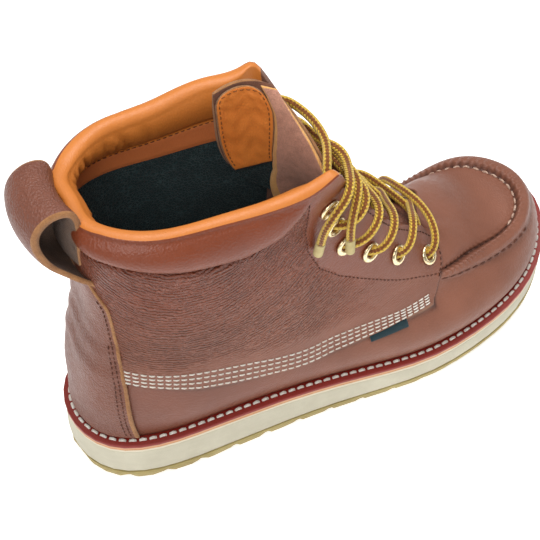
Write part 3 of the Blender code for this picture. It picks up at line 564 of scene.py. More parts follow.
def eyelet_frames():
    """Centre, normal and nearby facing edge of each eyelet from lowest to top, for both sides."""
    frames = {}
    section, level = np.array(EYELETS).T
    for label, side in (("lateral", -1), ("medial", 1)):
        stops = [section_at(name, side) for name in SECTION_NAMES]
        if side > 0:
            stops[0] = ROUND
        at = np.interp(section, np.arange(len(SECTIONS)), stops)
        normal = upper_normals(at, level)
        centre = upper_form(at, level, EYELET_SEAT)
        dense = np.linspace(at.min() - 30.0, at.max() + 30.0, 300)
        rim = plain_upper(dense, np.full(len(dense), LEVEL_AT[-1]))
        edge = [rim[np.argmin(np.linalg.norm(rim - place, axis=1))] for place in centre]
        frames[label] = list(zip(centre, normal, edge))
    return frames


def to_frame(points):
    """Boot millimetres to frame metres."""
    return (np.asarray(points, float) + BOOT_ORIGIN) * MM


def add_mesh(name, slot, points, faces, materials, face_materials=None, attributes=None):
    """Smooth mesh object from boot millimetres that rides on the boot's body; its slot argument is not used.
    """
    mesh = bpy.data.meshes.new(name)
    face_list = faces.tolist() if isinstance(faces, np.ndarray) else faces
    mesh.from_pydata(to_frame(points).tolist(), [], face_list)
    for material in materials:
        mesh.materials.append(material)
    if face_materials is not None:
        mesh.polygons.foreach_set("material_index", np.asarray(face_materials, np.int32))
    for label, values in (attributes or {}).items():
        values = np.asarray(values, np.float32)
        kind, key = ("FLOAT_VECTOR", "vector") if values.ndim == 2 else ("FLOAT", "value")
        mesh.attributes.new(label, kind, "POINT").data.foreach_set(key, values.ravel())
    mesh.polygons.foreach_set("use_smooth", np.ones(len(mesh.polygons), bool))
    mesh.update()
    item = bpy.data.objects.new(name, mesh)
    bpy.context.scene.collection.objects.link(item)
    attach(item, "root")
    return item


def join_runs(runs):
    """Points and faces of several meshes as one."""
    points, faces = [], []
    base = 0
    for run_points, run_faces in runs:
        points.append(run_points)
        faces += [tuple(base + index for index in face) for face in run_faces]
        base += len(run_points)
    return np.concatenate(points), faces


def turned(place, direction, axis="Z"):
    """Matrix that stands an object at a place with one of its axes along a direction."""
    turn = Vector(direction).to_track_quat(axis, "Y").to_matrix().to_4x4()
    return Matrix.Translation(Vector(place)) @ turn


def add_camera():
    """Camera at the photograph's angle and distance."""
    azimuth, elevation, roll = (math.radians(angle) for angle in (VIEW_AZIMUTH, VIEW_ELEVATION, VIEW_ROLL))
    level_back = np.array([math.sin(azimuth), -math.cos(azimuth), 0.0]) * math.cos(elevation)
    back = level_back + np.array([0.0, 0.0, math.sin(elevation)])
    right = unit(np.cross([0.0, 0.0, 1.0], back))
    up = np.cross(back, right)
    turned_right = math.cos(roll) * right + math.sin(roll) * up
    turned_up = -math.sin(roll) * right + math.cos(roll) * up
    data = bpy.data.cameras.new("view")
    data.sensor_width = SENSOR_WIDTH
    data.lens = data.sensor_width * VIEW_FOCAL / IMAGE_SIZE
    data.clip_start, data.clip_end = CLIP_RANGE
    camera = bpy.data.objects.new("view", data)
    turn = Matrix((turned_right, turned_up, back)).transposed().to_4x4()
    place = to_frame(np.array(VIEW_AIM) + back * VIEW_DISTANCE)
    camera.matrix_world = Matrix.Translation(Vector(place)) @ turn
    bpy.context.scene.collection.objects.link(camera)
    bpy.context.scene.camera = camera


add_camera()


# Material tools
def new_material(name, **values):
    """Material with a Principled shader whose plain sockets are set directly."""
    material = bpy.data.materials.new(name)
    material.use_nodes = True
    shader = material.node_tree.nodes["Principled BSDF"]
    for label, value in values.items():
        shader.inputs[label.replace("_", " ")].default_value = value
    return material, material.node_tree, shader


def add_node(tree, kind, settings=None, inputs=None):
    """Node with its properties set and its sockets, by name or number, linked or filled."""
    node = tree.nodes.new(kind)
    for label, value in (settings or {}).items():
        setattr(node, label, value)
    for label, value in (inputs or {}).items():
        if isinstance(value, bpy.types.NodeSocket):
            tree.links.new(value, node.inputs[label])
        else:
            node.inputs[label].default_value = value
    return node


def calc(tree, operation, first, second=0.0):
    """Math node's result."""
    return add_node(tree, "ShaderNodeMath", {"operation": operation}, {0: first, 1: second}).outputs[0]


def plus(tree, first, second):
    """Sum of two values."""
    return calc(tree, "ADD", first, second)


def times(tree, first, second):
    """Product of two values."""
    return calc(tree, "MULTIPLY", first, second)


def blend_colours(tree, share, first, second):
    """Colour between two colours."""
    inputs = {0: share, 6: first, 7: second}
    return add_node(tree, "ShaderNodeMix", {"data_type": "RGBA"}, inputs).outputs[2]


def tint_colours(tree, share, colour, tint):
    """Colour multiplied by a tint."""
    inputs = {0: share, 6: colour, 7: tint}
    return add_node(tree, "ShaderNodeMix", {"data_type": "RGBA", "blend_type": "MULTIPLY"}, inputs).outputs[2]


def remap(tree, value, low, high, to_low=0.0, to_high=1.0):
    """Clamped linear change of range."""
    inputs = {0: value, 1: low, 2: high, 3: to_low, 4: to_high}
    return add_node(tree, "ShaderNodeMapRange", None, inputs).outputs[0]


def vector_calc(tree, operation, first, second):
    """Vector math node's result."""
    return add_node(tree, "ShaderNodeVectorMath", {"operation": operation}, {0: first, 1: second}).outputs[0]


def scaled(tree, vector, amounts):
    """Vector multiplied along each axis."""
    return vector_calc(tree, "MULTIPLY", vector, amounts)


def noise(tree, vector, scale, detail=3.0, roughness=0.55):
    """Noise value about one half."""
    inputs = {"Vector": vector, "Scale": scale, "Detail": detail, "Roughness": roughness}
    return add_node(tree, "ShaderNodeTexNoise", None, inputs).outputs[0]


def cells(tree, vector, scale, feature="F1"):
    """Distance in a cell pattern."""
    inputs = {"Vector": vector, "Scale": scale}
    return add_node(tree, "ShaderNodeTexVoronoi", {"feature": feature}, inputs).outputs["Distance"]


def bands(tree, vector, scale, direction):
    """Value of a pattern of bands."""
    inputs = {"Vector": vector, "Scale": scale}
    return add_node(tree, "ShaderNodeTexWave", {"bands_direction": direction}, inputs).outputs[1]


def attribute(tree, label, socket="Fac"):
    """A stored surface value."""
    return add_node(tree, "ShaderNodeAttribute", {"attribute_name": label}).outputs[socket]


def object_place(tree):
    """Object coordinates in millimetres."""
    return scaled(tree, add_node(tree, "ShaderNodeTexCoord").outputs["Object"], (1000.0, 1000.0, 1000.0))


def feed(tree, shader, **values):
    """Values linked to a shader's sockets."""
    for label, value in values.items():
        tree.links.new(value, shader.inputs[label.replace("_", " ")])


def set_bump(tree, shader, height, depth):
    """Bump from a height in 0 to 1 that stands for depth in metres."""
    inputs = {"Strength": 1.0, "Distance": depth, "Height": height}
    feed(tree, shader, Normal=add_node(tree, "ShaderNodeBump", None, inputs).outputs[0])


def new_group(name, inputs, outputs):
    """Shader node group with named sockets."""
    group = bpy.data.node_groups.new(name, "ShaderNodeTree")
    for label, kind in inputs:
        group.interface.new_socket(label, in_out="INPUT", socket_type=kind)
    for label, kind in outputs:
        group.interface.new_socket(label, in_out="OUTPUT", socket_type=kind)
    start, finish = group.nodes.new("NodeGroupInput"), group.nodes.new("NodeGroupOutput")
    return group, start.outputs, finish.inputs


def use_group(tree, group, inputs):
    """Group placed in a material."""
    return add_node(tree, "ShaderNodeGroup", {"node_tree": group}, inputs).outputs


COLOUR, VALUE, VECTOR = "NodeSocketColor", "NodeSocketFloat", "NodeSocketVector"


def leather_group():
    """Full-grain leather: wrinkles that follow the fold direction, pebbles, pores and pull-up colour, with
    painted shade in the furrows and painted highlight on the ridges.
    """
    group, given, result = new_group(
        "full_grain",
        (
            ("Place", VECTOR), ("Fold", VECTOR), ("Wrinkle", VALUE), ("Lines", VALUE), ("Pebble", VALUE),
            ("Light", COLOUR), ("Deep", COLOUR),
        ),
        (("Colour", COLOUR), ("Roughness", VALUE), ("Height", VALUE)),
    )
    drift = noise(group, given["Place"], 0.03, 3.0, 0.6)
    warp = times(group, calc(group, "SUBTRACT", noise(group, given["Place"], 0.1, 2.0), 0.5), 3.0)
    shift = add_node(group, "ShaderNodeCombineXYZ", None, {0: warp, 1: warp, 2: 0.0}).outputs[0]
    bent = vector_calc(group, "ADD", given["Fold"], shift)
    sway = times(group, calc(group, "SUBTRACT", noise(group, given["Place"], 0.4, 2.0), 0.5), 0.9)
    ragged = vector_calc(group, "ADD", bent, sway)
    across = add_node(group, "ShaderNodeSeparateXYZ", None, {0: bent}).outputs[0]
    wander = times(group, noise(group, given["Place"], 0.14, 3.0), 8.0)
    wave = calc(group, "SINE", plus(group, times(group, across, 3.5), wander))
    streaks = noise(group, scaled(group, bent, (0.2, 0.07, 0.1)), 1.0, 2.0)
    patchy = remap(group, streaks, 0.36, 0.62, 0.15, 1.0)
    lines = times(group, times(group, wave, patchy), times(group, given["Lines"], 0.62))
    grain = cells(group, scaled(group, ragged, (0.85, 0.4, 0.5)), 1.0, "DISTANCE_TO_EDGE")
    dome = remap(group, grain, 0.0, 0.3, -0.4, 0.26)
    rolls = noise(group, scaled(group, bent, (0.3, 0.06, 0.2)), 1.0, 2.0, 0.5)
    broad = remap(group, rolls, 0.36, 0.64, -0.16, 0.2)
    folds = plus(group, plus(group, dome, broad), lines)
    folds = times(group, folds, given["Wrinkle"])
    pebble = remap(group, cells(group, given["Place"], 0.85), 0.1, 0.75, 1.0, 0.0)
    pores = noise(group, given["Place"], 2.6, 2.0)
    height = plus(group, times(group, pebble, given["Pebble"]), folds)
    height = plus(group, height, times(group, pores, 0.1))
    tone = remap(group, drift, 0.3, 0.7, 0.42, 0.66)
    # Painted shade and highlight: the folds' height also sets the colour, darker in the furrows and lighter
    # on the ridges.
    tone = plus(group, tone, times(group, folds, 0.42))
    tone = plus(group, tone, times(group, calc(group, "SUBTRACT", pores, 0.5), 0.35))
    tone = remap(group, tone, 0.0, 1.0)
    group.links.new(blend_colours(group, tone, given["Deep"], given["Light"]), result["Colour"])
    polish = remap(group, noise(group, given["Place"], 0.3, 3.0), 0.3, 0.7, 0.38, 0.52)
    group.links.new(polish, result["Roughness"])
    group.links.new(height, result["Height"])
    return group


def nap_group():
    """Raw flesh side and cut edges: short fibres with uneven colour."""
    group, given, result = new_group(
        "raw_leather",
        (("Place", VECTOR), ("Light", COLOUR), ("Deep", COLOUR)),
        (("Colour", COLOUR), ("Height", VALUE)),
    )
    fibre = noise(group, scaled(group, given["Place"], (1.6, 1.6, 1.6)), 1.0, 4.0, 0.7)
    patch = noise(group, given["Place"], 0.22, 2.0)
    tone = plus(group, times(group, fibre, 0.7), times(group, patch, 0.4))
    tone = remap(group, tone, 0.35, 0.8)
    group.links.new(blend_colours(group, tone, given["Deep"], given["Light"]), result["Colour"])
    group.links.new(fibre, result["Height"])
    return group


def rubber_group():
    """Moulded rubber: faint mottling, handling marks and fine pitting."""
    group, given, result = new_group(
        "moulded_rubber",
        (("Place", VECTOR), ("Light", COLOUR), ("Deep", COLOUR)),
        (("Colour", COLOUR), ("Roughness", VALUE), ("Height", VALUE)),
    )
    cloud = noise(group, given["Place"], 0.05, 4.0, 0.6)
    streak = noise(group, scaled(group, given["Place"], (0.05, 0.05, 0.5)), 1.0, 3.0)
    pits = noise(group, given["Place"], 1.4, 3.0, 0.65)
    tone = plus(group, times(group, cloud, 0.6), times(group, streak, 0.12))
    tone = plus(group, tone, times(group, pits, 0.15))
    tone = remap(group, tone, 0.28, 0.56)
    group.links.new(blend_colours(group, tone, given["Deep"], given["Light"]), result["Colour"])
    group.links.new(remap(group, pits, 0.3, 0.7, 0.55, 0.72), result["Roughness"])
    group.links.new(pits, result["Height"])
    return group


FULL_GRAIN, RAW_LEATHER, MOULDED_RUBBER = leather_group(), nap_group(), rubber_group()


def leather_material(name, light, deep, wrinkle, pebble, depth=0.0009, on_surface=False):
    """Leather with its own colours; on_surface reads the stored folds, seams and cut edges of the upper."""
    material, tree, shader = new_material(name, Specular_IOR_Level=0.4)
    place = object_place(tree)
    fold, amount = place, wrinkle
    if on_surface:
        fold = attribute(tree, "fold", "Vector")
        amount = times(tree, attribute(tree, "wrinkle"), wrinkle)
    inputs = {"Place": place, "Fold": fold, "Wrinkle": amount, "Pebble": pebble, "Light": light, "Deep": deep}
    inputs["Lines"] = 1.0 if on_surface else 0.0
    finish = use_group(tree, FULL_GRAIN, inputs)
    colour = finish["Colour"]
    if on_surface:
        colour = tint_colours(tree, attribute(tree, "warm"), colour, (0.93, 0.54, 0.32, 1.0))
        colour = blend_colours(tree, attribute(tree, "cut_edge"), colour, (0.36, 0.17, 0.075, 1.0))
        # Painted shade: the stored shade values darken seams, creases and panel edges toward near black.
        colour = blend_colours(tree, attribute(tree, "shade"), colour, (0.035, 0.012, 0.008, 1.0))
    roughness = finish["Roughness"]
    if on_surface:
        roughness = calc(tree, "SUBTRACT", roughness, times(tree, attribute(tree, "warm"), 0.1))
    feed(tree, shader, Base_Color=colour, Roughness=roughness)
    set_bump(tree, shader, finish["Height"], depth)
    return material


def raw_material(name, light, deep, depth=0.0005):
    """Flesh side or cut edge."""
    material, tree, shader = new_material(name, Roughness=0.85, Specular_IOR_Level=0.2, Sheen_Weight=0.15)
    finish = use_group(tree, RAW_LEATHER, {"Place": object_place(tree), "Light": light, "Deep": deep})
    feed(tree, shader, Base_Color=finish["Colour"])
    set_bump(tree, shader, finish["Height"], depth)
    return material


def rubber_material(name, light, deep, depth=0.0002):
    """Rubber or plastic film with its own colours."""
    material, tree, shader = new_material(name, Specular_IOR_Level=0.3)
    finish = use_group(tree, MOULDED_RUBBER, {"Place": object_place(tree), "Light": light, "Deep": deep})
    feed(tree, shader, Base_Color=finish["Colour"], Roughness=finish["Roughness"])
    set_bump(tree, shader, finish["Height"], depth)
    return material


def board_material():
    """Cut edge of the midsole: tan above, with the cream of the wedge smeared over its lower half."""
    material, tree, shader = new_material("midsole_edge", Roughness=0.8, Specular_IOR_Level=0.2)
    inputs = {"Place": object_place(tree), "Light": (0.7, 0.38, 0.2, 1.0), "Deep": (0.48, 0.22, 0.1, 1.0)}
    finish = use_group(tree, RAW_LEATHER, inputs)
    share = remap(tree, attribute(tree, "rise"), 0.5, 0.62)
    colour = blend_colours(tree, share, (0.68, 0.62, 0.48, 1.0), finish["Colour"])
    feed(tree, shader, Base_Color=colour)
    set_bump(tree, shader, finish["Height"], 0.0002)
    return material


def welt_material():
    """Dyed welt strip, left bare along the lower half of its cut edge."""
    material, tree, shader = new_material("red_welt", Specular_IOR_Level=0.4)
    place = object_place(tree)
    inputs = {"Place": place, "Fold": place, "Wrinkle": 0.15, "Pebble": 0.1}
    inputs.update({"Light": (0.3, 0.024, 0.014, 1.0), "Deep": (0.15, 0.011, 0.007, 1.0)})
    finish = use_group(tree, FULL_GRAIN, inputs)
    bare = remap(tree, attribute(tree, "rise"), 0.4, 0.52, 1.0, 0.0)
    colour = blend_colours(tree, bare, finish["Colour"], (0.6, 0.3, 0.16, 1.0))
    feed(tree, shader, Base_Color=colour, Roughness=finish["Roughness"])
    set_bump(tree, shader, finish["Height"], 0.0002)
    return material


def thread_material(name, light, deep):
    """Sewing thread with a twisted ply."""
    material, tree, shader = new_material(name, Roughness=0.7, Specular_IOR_Level=0.25)
    place = object_place(tree)
    twist = bands(tree, place, 1.3, "DIAGONAL")
    soil = noise(tree, place, 0.35, 3.0)
    tone = plus(tree, times(tree, twist, 0.35), remap(tree, soil, 0.3, 0.65, 0.1, 0.65))
    feed(tree, shader, Base_Color=blend_colours(tree, tone, deep, light))
    set_bump(tree, shader, twist, 0.00015)
    return material


def mesh_lining_material():
    """Dark knitted lining with a fine open net and paler threads where it catches the light."""
    material, tree, shader = new_material(
        "mesh_lining", Roughness=0.9, Specular_IOR_Level=0.15, Sheen_Weight=0.1)
    place = object_place(tree)
    net = cells(tree, place, 0.62, "DISTANCE_TO_EDGE")
    thread = remap(tree, net, 0.02, 0.16, 1.0, 0.0)
    # Painted highlight: random patches where the paler threads catch the light.
    light_catch = noise(tree, place, 0.12, 4.0, 0.65)
    share = times(tree, thread, remap(tree, light_catch, 0.35, 0.7, 0.05, 0.75))
    colour = blend_colours(tree, share, (0.011, 0.025, 0.027, 1.0), (0.045, 0.085, 0.088, 1.0))
    feed(tree, shader, Base_Color=colour)
    set_bump(tree, shader, thread, 0.0004)
    return material


def brass_material():
    """Pale plated eyelets, brushed by the lace."""
    material, tree, shader = new_material("pale_brass", Metallic=1.0)
    place = object_place(tree)
    rub = noise(tree, place, 0.9, 4.0, 0.65)
    tone = remap(tree, rub, 0.35, 0.65)
    colour = blend_colours(tree, tone, (0.72, 0.56, 0.3, 1.0), (0.95, 0.84, 0.58, 1.0))
    feed(tree, shader, Base_Color=colour, Roughness=remap(tree, rub, 0.3, 0.7, 0.2, 0.38))
    set_bump(tree, shader, rub, 0.00006)
    return material


def lace_material():
    """Round braid: yellow ground with a rust herringbone stripe on two sides, and painted shade in the
    grooves between the yarns.
    """
    material, tree, shader = new_material(
        "braided_lace", Roughness=0.75, Specular_IOR_Level=0.25, Sheen_Weight=0.2)
    braid = add_node(tree, "ShaderNodeUVMap", {"uv_map": "braid"}).outputs[0]
    parts = add_node(tree, "ShaderNodeSeparateXYZ", None, {0: braid}).outputs
    along, around = parts[0], parts[1]
    mirrored = calc(tree, "PINGPONG", around, 0.25)
    plait = calc(tree, "PINGPONG", times(tree, along, 0.55), 0.5)
    edge = plus(tree, mirrored, times(tree, plait, 0.1))
    stripe = remap(tree, edge, 0.088, 0.1, 1.0, 0.0)
    slant = plus(tree, times(tree, along, 0.55), times(tree, mirrored, 8.0))
    yarn = calc(tree, "PINGPONG", slant, 0.5)
    gap = remap(tree, yarn, 0.0, 0.16, 1.0, 0.0)
    fuzz = noise(tree, object_place(tree), 1.1, 3.0)
    tone = remap(tree, fuzz, 0.35, 0.65)
    yellow = blend_colours(tree, tone, (0.6, 0.37, 0.03, 1.0), (0.86, 0.6, 0.08, 1.0))
    rust = blend_colours(tree, tone, (0.14, 0.042, 0.009, 1.0), (0.29, 0.095, 0.017, 1.0))
    colour = blend_colours(tree, stripe, yellow, rust)
    # Painted shade: the grooves between the yarns are darkened.
    colour = blend_colours(tree, times(tree, gap, 0.7), colour, (0.09, 0.035, 0.008, 1.0))
    feed(tree, shader, Base_Color=colour)
    set_bump(tree, shader, yarn, 0.0007)
    return material


def label_material():
    """Woven tab."""
    material, tree, shader = new_material(
        "woven_tab", Roughness=0.8, Specular_IOR_Level=0.2, Sheen_Weight=0.1)
    place = object_place(tree)
    weave = bands(tree, place, 0.55, "X")
    patch = noise(tree, place, 0.4, 3.0)
    tone = plus(tree, times(tree, weave, 0.4), times(tree, patch, 0.6))
    colour = blend_colours(tree, tone, (0.005, 0.018, 0.024, 1.0), (0.018, 0.055, 0.068, 1.0))
    feed(tree, shader, Base_Color=colour)
    set_bump(tree, shader, weave, 0.0002)
    return material


BROWN_LIGHT, BROWN_DEEP = (0.32, 0.127, 0.078, 1.0), (0.11, 0.036, 0.019, 1.0)

# Finishes: light and deep colour, then for leather its wrinkles and pebbles, then the grain's depth in metres
FINISH = {
    "leather": leather_material("brown_leather_grain", BROWN_LIGHT, BROWN_DEEP, 1.0, 0.12, on_surface=True),
    "strap": leather_material(
        "strap_leather_grain", (0.245, 0.085, 0.049, 1.0), (0.1, 0.031, 0.0175, 1.0), 0.25, 0.5, 0.0006),
    "tongue": leather_material("tongue_leather_grain", BROWN_LIGHT, BROWN_DEEP, 0.5, 0.2),
    "lining": leather_material(
        "collar_lining_leather", (0.67, 0.225, 0.04, 1.0), (0.47, 0.138, 0.023, 1.0), 0.25, 0.05, 0.00025),
    "strip": leather_material(
        "collar_strip_leather", (0.62, 0.19, 0.06, 1.0), (0.4, 0.11, 0.032, 1.0), 0.2, 0.1, 0.00025),
    # Painted light: the patch's colours are brightened to make up for the shade on the tongue's inner face.
    "patch": leather_material(
        "tongue_patch_leather_painted_light", (0.97, 0.32, 0.06, 1.0), (0.68, 0.19, 0.034, 1.0), 0.35, 0.05, 0.0004),
    "flesh": raw_material("strap_flesh_side", (0.2, 0.11, 0.063, 1.0), (0.085, 0.044, 0.025, 1.0), 0.0007),
    "suede": raw_material("brown_suede", (0.25, 0.115, 0.072, 1.0), (0.12, 0.05, 0.03, 1.0)),
    # Painted light: the wing and its cut edge are brightened to make up for the shade they lie in on the
    # tongue's inner face.
    "wing": raw_material("tongue_wing_suede_painted_light", (0.86, 0.45, 0.315, 1.0), (0.42, 0.195, 0.135, 1.0), 0.0006),
    "wing_edge": raw_material("tongue_wing_edge_painted_light", (1.0, 0.56, 0.2, 1.0), (0.72, 0.35, 0.1, 1.0), 0.0006),
    "cut": raw_material("cut_edge", (0.5, 0.25, 0.1, 1.0), (0.22, 0.09, 0.035, 1.0)),
    "mesh": mesh_lining_material(),
    "wedge": rubber_material("cream_wedge", (0.6, 0.565, 0.44, 1.0), (0.49, 0.455, 0.345, 1.0)),
    "gum": rubber_material("gum_tread", (0.46, 0.37, 0.15, 1.0), (0.33, 0.25, 0.085, 1.0), 0.0004),
    "board": board_material(),
    "welt": welt_material(),
    "insole": leather_material(
        "insole_leather_skin", (0.3, 0.16, 0.08, 1.0), (0.2, 0.1, 0.05, 1.0), 0.1, 0.2),
    "cream_thread": thread_material("cream_thread", (1.0, 0.97, 0.9, 1.0), (0.82, 0.74, 0.62, 1.0)),
    "brown_thread": thread_material("brown_thread", (0.17, 0.065, 0.042, 1.0), (0.06, 0.02, 0.012, 1.0)),
    "rust_thread": thread_material("rust_thread", (0.36, 0.13, 0.04, 1.0), (0.18, 0.06, 0.018, 1.0)),
    "dark_thread": thread_material("dark_thread", (0.09, 0.035, 0.022, 1.0), (0.03, 0.01, 0.007, 1.0)),
    "rose_thread": thread_material("rose_thread", (0.74, 0.54, 0.43, 1.0), (0.45, 0.26, 0.18, 1.0)),
    "brass": brass_material(),
    "lace": lace_material(),
    "tip": rubber_material("lace_tip_film", (0.62, 0.52, 0.26, 1.0), (0.4, 0.31, 0.12, 1.0), 0.0001),
    "tab": label_material(),
}


# Lace
def tube_arrays(line, radius):
    """Rings along a line, their faces and a UV of millimetres along and turns around."""
    sides = LACE_SIDES
    along = unit(np.gradient(line, axis=0))
    reach = reach_along(line)
    turns = np.linspace(0.0, 2 * math.pi, sides, endpoint=False)
    points = []
    for centre, direction in zip(line, along):
        across = unit(LACE_FACE - direction * (LACE_FACE @ direction))
        other = np.cross(direction, across)
        points.append(centre + radius * (np.cos(turns)[:, None] * across + np.sin(turns)[:, None] * other))
    faces, corner_uv = [], []
    for k in range(len(line) - 1):
        for i in range(sides):
            j = (i + 1) % sides
            faces.append((k * sides + i, k * sides + j, (k + 1) * sides + j, (k + 1) * sides + i))
            low, high = i / sides, (i + 1) / sides
            corner_uv += [(reach[k], low), (reach[k], high), (reach[k + 1], high), (reach[k + 1], low)]
    last = (len(line) - 1) * sides
    for ring, at in ((list(range(sides))[::-1], 0.0), ([last + i for i in range(sides)], reach[-1])):
        faces.append(tuple(ring))
        corner_uv += [(at, 0.0)] * sides
    return np.concatenate(points), faces, corner_uv


def add_tubes(name, lines, radius=LACE_RADIUS):
    """One mesh of round cords with a braid UV."""
    tubes = [tube_arrays(line, radius) for line in lines]
    points, faces = join_runs((tube_points, tube_faces) for tube_points, tube_faces, _ in tubes)
    item = add_mesh(name, "lace_cord", points, faces, [FINISH["lace"]])
    corner_uv = np.concatenate([tube_uv for _, _, tube_uv in tubes])
    item.data.uv_layers.new(name="braid").data.foreach_set("uv", corner_uv.ravel())
    item.data.polygons.foreach_set("use_smooth", [len(face) == 4 for face in faces])
    return item


def model_tip(name, start, along):
    """Crimped lace tip: a cylinder with ringed ends, set on the end of its cord."""
    bpy.ops.object.select_all(action="DESELECT")
    bpy.ops.mesh.primitive_cylinder_add(
        vertices=20, radius=LACE_TIP_RADIUS * MM, depth=LACE_TIP_LENGTH * MM, location=(0.0, 0.0, 0.0))
    tip = bpy.context.object
    tip.name = tip.data.name = name
    bpy.ops.object.mode_set(mode="EDIT")
    bpy.ops.mesh.select_mode(type="FACE")
    bpy.ops.mesh.select_all(action="SELECT")
    bpy.ops.mesh.bevel(offset=LACE_TIP_BEVEL * MM, segments=2, affect="EDGES")
    bpy.ops.object.mode_set(mode="OBJECT")
    tip.matrix_world = turned(to_frame(start) + along * LACE_TIP_LENGTH * MM / 2, along)
    bpy.ops.object.transform_apply(location=True, rotation=True, scale=True)
    bpy.ops.object.shade_smooth_by_angle(angle=math.radians(40))
    tip.data.materials.append(FINISH["tip"])
    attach(tip, "root")
    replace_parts(tip, name.replace("_film", ""))
    return tip


def add_lace_ends():
    """Both free ends of the lace, each with its tip."""
    for side, points in LACE_ENDS.items():
        line = route(points, int(reach_along(np.array(points))[-1] / LACE_STEP))
        cord = add_tubes(f"lace_end_{side}_braid", [line])
        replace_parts(cord, f"lace_end_{side}")
        along = unit(line[-1] - line[-2])
        tip = model_tip(f"lace_tip_{side}_film", line[-1] + along * GAP, along)


def relaxed(line):
    """The line with its bends eased and its ends kept."""
    for _ in range(EASING_ROUNDS):
        line[1:-1] = (line[:-2] + 2.0 * line[1:-1] + line[2:]) / 4.0
    return line


def lace_points(frames, side, number):
    """Places a lace passes at one eyelet: under the facing, in the hole, over it, at the edge and inside."""
    centre, normal, edge = frames[side][number]
    toward = unit(edge - centre)
    inward = np.array([0.0, 1.0 if side == "lateral" else -1.0, 0.0])
    lift, back = LACE_SLACK[side]
    return {
        "under": centre - normal * (WALL + QUARTER_STEP + 3.0) + toward * 2.0,
        "sunk": centre - normal * 2.2 - toward * 0.8,
        "hole": centre + normal * 1.2 - toward * 0.6,
        "over": centre + normal * (EYELET_FLANGE + LACE_RADIUS + 0.7 + 0.4 * lift) + toward * 2.2,
        "lip": edge + normal * (LACE_RADIUS + QUARTER_STEP + 0.7 + lift) + np.array([back, 0.0, 0.0]),
        "beside": edge + inward * (LACE_RADIUS + 2.1) + normal * 0.6,
    }


# Stops of a lace on its way into an eyelet
ENTRY = ("lip", "over", "hole", "sunk")


def add_lacing():
    """Bottom bar and the crossings, run through the eyelets, and the tails that lead to the free ends."""
    frames = eyelet_frames()
    low, high = lace_points(frames, "lateral", 0), lace_points(frames, "medial", 0)
    middle = (low["lip"] + high["lip"]) / 2 + np.array([1.0, 0.0, BAR_ARCH])
    bar = [low[stop] for stop in reversed(ENTRY)] + [middle] + [high[stop] for stop in ENTRY]
    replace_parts(add_tubes("lace_bar_braid", [relaxed(route(bar, LACE_ROWS))]), "lace_bar")
    for number in range(len(EYELETS) - 2):
        strands = []
        for side, other in (("lateral", "medial"), ("medial", "lateral")):
            start, end = lace_points(frames, side, number), lace_points(frames, other, number + 1)
            middle = (start["beside"] + end["lip"]) / 2 + np.array([0.3, 0.0, 1.0]) * CROSS_ARCH
            path = [start["under"], start["beside"], middle] + [end[stop] for stop in ENTRY]
            strands.append(relaxed(route(path, LACE_ROWS)))
        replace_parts(add_tubes(f"lace_cross_{number + 1}_braid", strands), f"lace_cross_{number + 1}")
    tails = []
    for side, points in LACE_ENDS.items():
        start = lace_points(frames, side, len(EYELETS) - 2)["under"]
        line = route([start, points[0], points[1]], TAIL_ROWS)
        reach = np.linalg.norm(np.array(points[0]) - start) + TAIL_OVERLAP
        tails.append(line[np.linalg.norm(line - start, axis=1) < reach])
    add_tubes("lace_tail_braid", tails, LACE_RADIUS - TAIL_PLAY)


add_lace_ends()
add_lacing()


# Upper
def spaced(spans):
    """Places with their own spacing in each span of (start, end, step)."""
    parts = [np.linspace(a, b, max(1, round((b - a) / step)), endpoint=False) for a, b, step in spans]
    return np.concatenate(parts)


# Mesh of the upper: spans round half the foot and up the wall, as (start, end, step)
HALF_STEPS, TOE_STEP = ((0, 24, 2.6), (24, 46, 1.8), (46, 200, 2.4), (200, 228, 0.7)), 1.15
OUTER_STEPS = ((0, 26, 2.0), (26, 66, 0.9), (66, 103, 2.0), (103, 130, 1.0))
INNER_STEPS = ((0, 84, 6.0), (84, 104, 2.5), (104, 130, 0.8))
RIM_ROWS = 13

# Rim of the collar: its rise on the far side, fills as (height, place, width) and its lean round the foot
FAR_RISE, FAR_PLACE, FAR_WIDTH = 2.2, 52.0, 24.0
FAR_FILL = ((1.9, 99.0, 20.0), (2.3, 69.0, 16.0))
RIM_LEAN = ((-60, 0.8), (-26, 1.0), (-10, 2.6), (14, 2.6), (34, 1.35), (125, 1.35), (140, 1.0))

# Where the collar's lining and the mesh below it end, and the centre that the wrinkles run round
LINING_FRONT = SECTION_NAMES.index("top_corner") + 0.8
LINING_FOOT = 60.0
WRINKLE_CENTRE, WRINKLE_RISE, WRINKLE_TURN = (70.0, 147.0), 1.1, 70.0


def upper_stations():
    """Places round the foot, closer at panel edges and along the toe seam."""
    back = [(ROUND - end, ROUND - start, step) for start, end, step in reversed(HALF_STEPS)]
    toe = (HALF_STEPS[-1][1], back[0][0], TOE_STEP)
    return spaced((*HALF_STEPS, toe, *back))


def fold_place(around, level):
    """Distance across the leather's wrinkles and along them, which run round the back of the collar."""
    at = folded(around) - WRINKLE_CENTRE[0]
    up = (level - WRINKLE_CENTRE[1]) * WRINKLE_RISE
    radius = np.hypot(at, up)
    return np.column_stack([radius, np.arctan2(at, -up) * WRINKLE_TURN, np.zeros_like(radius)])


def below_rim(around, level):
    """Levels near the collar's top drawn down so that the round rim ends at the edge's height."""
    return level - RIM_DROP * collar_share(around) * np.clip((level - 104.0) / 26.0, 0.0, 1.0)


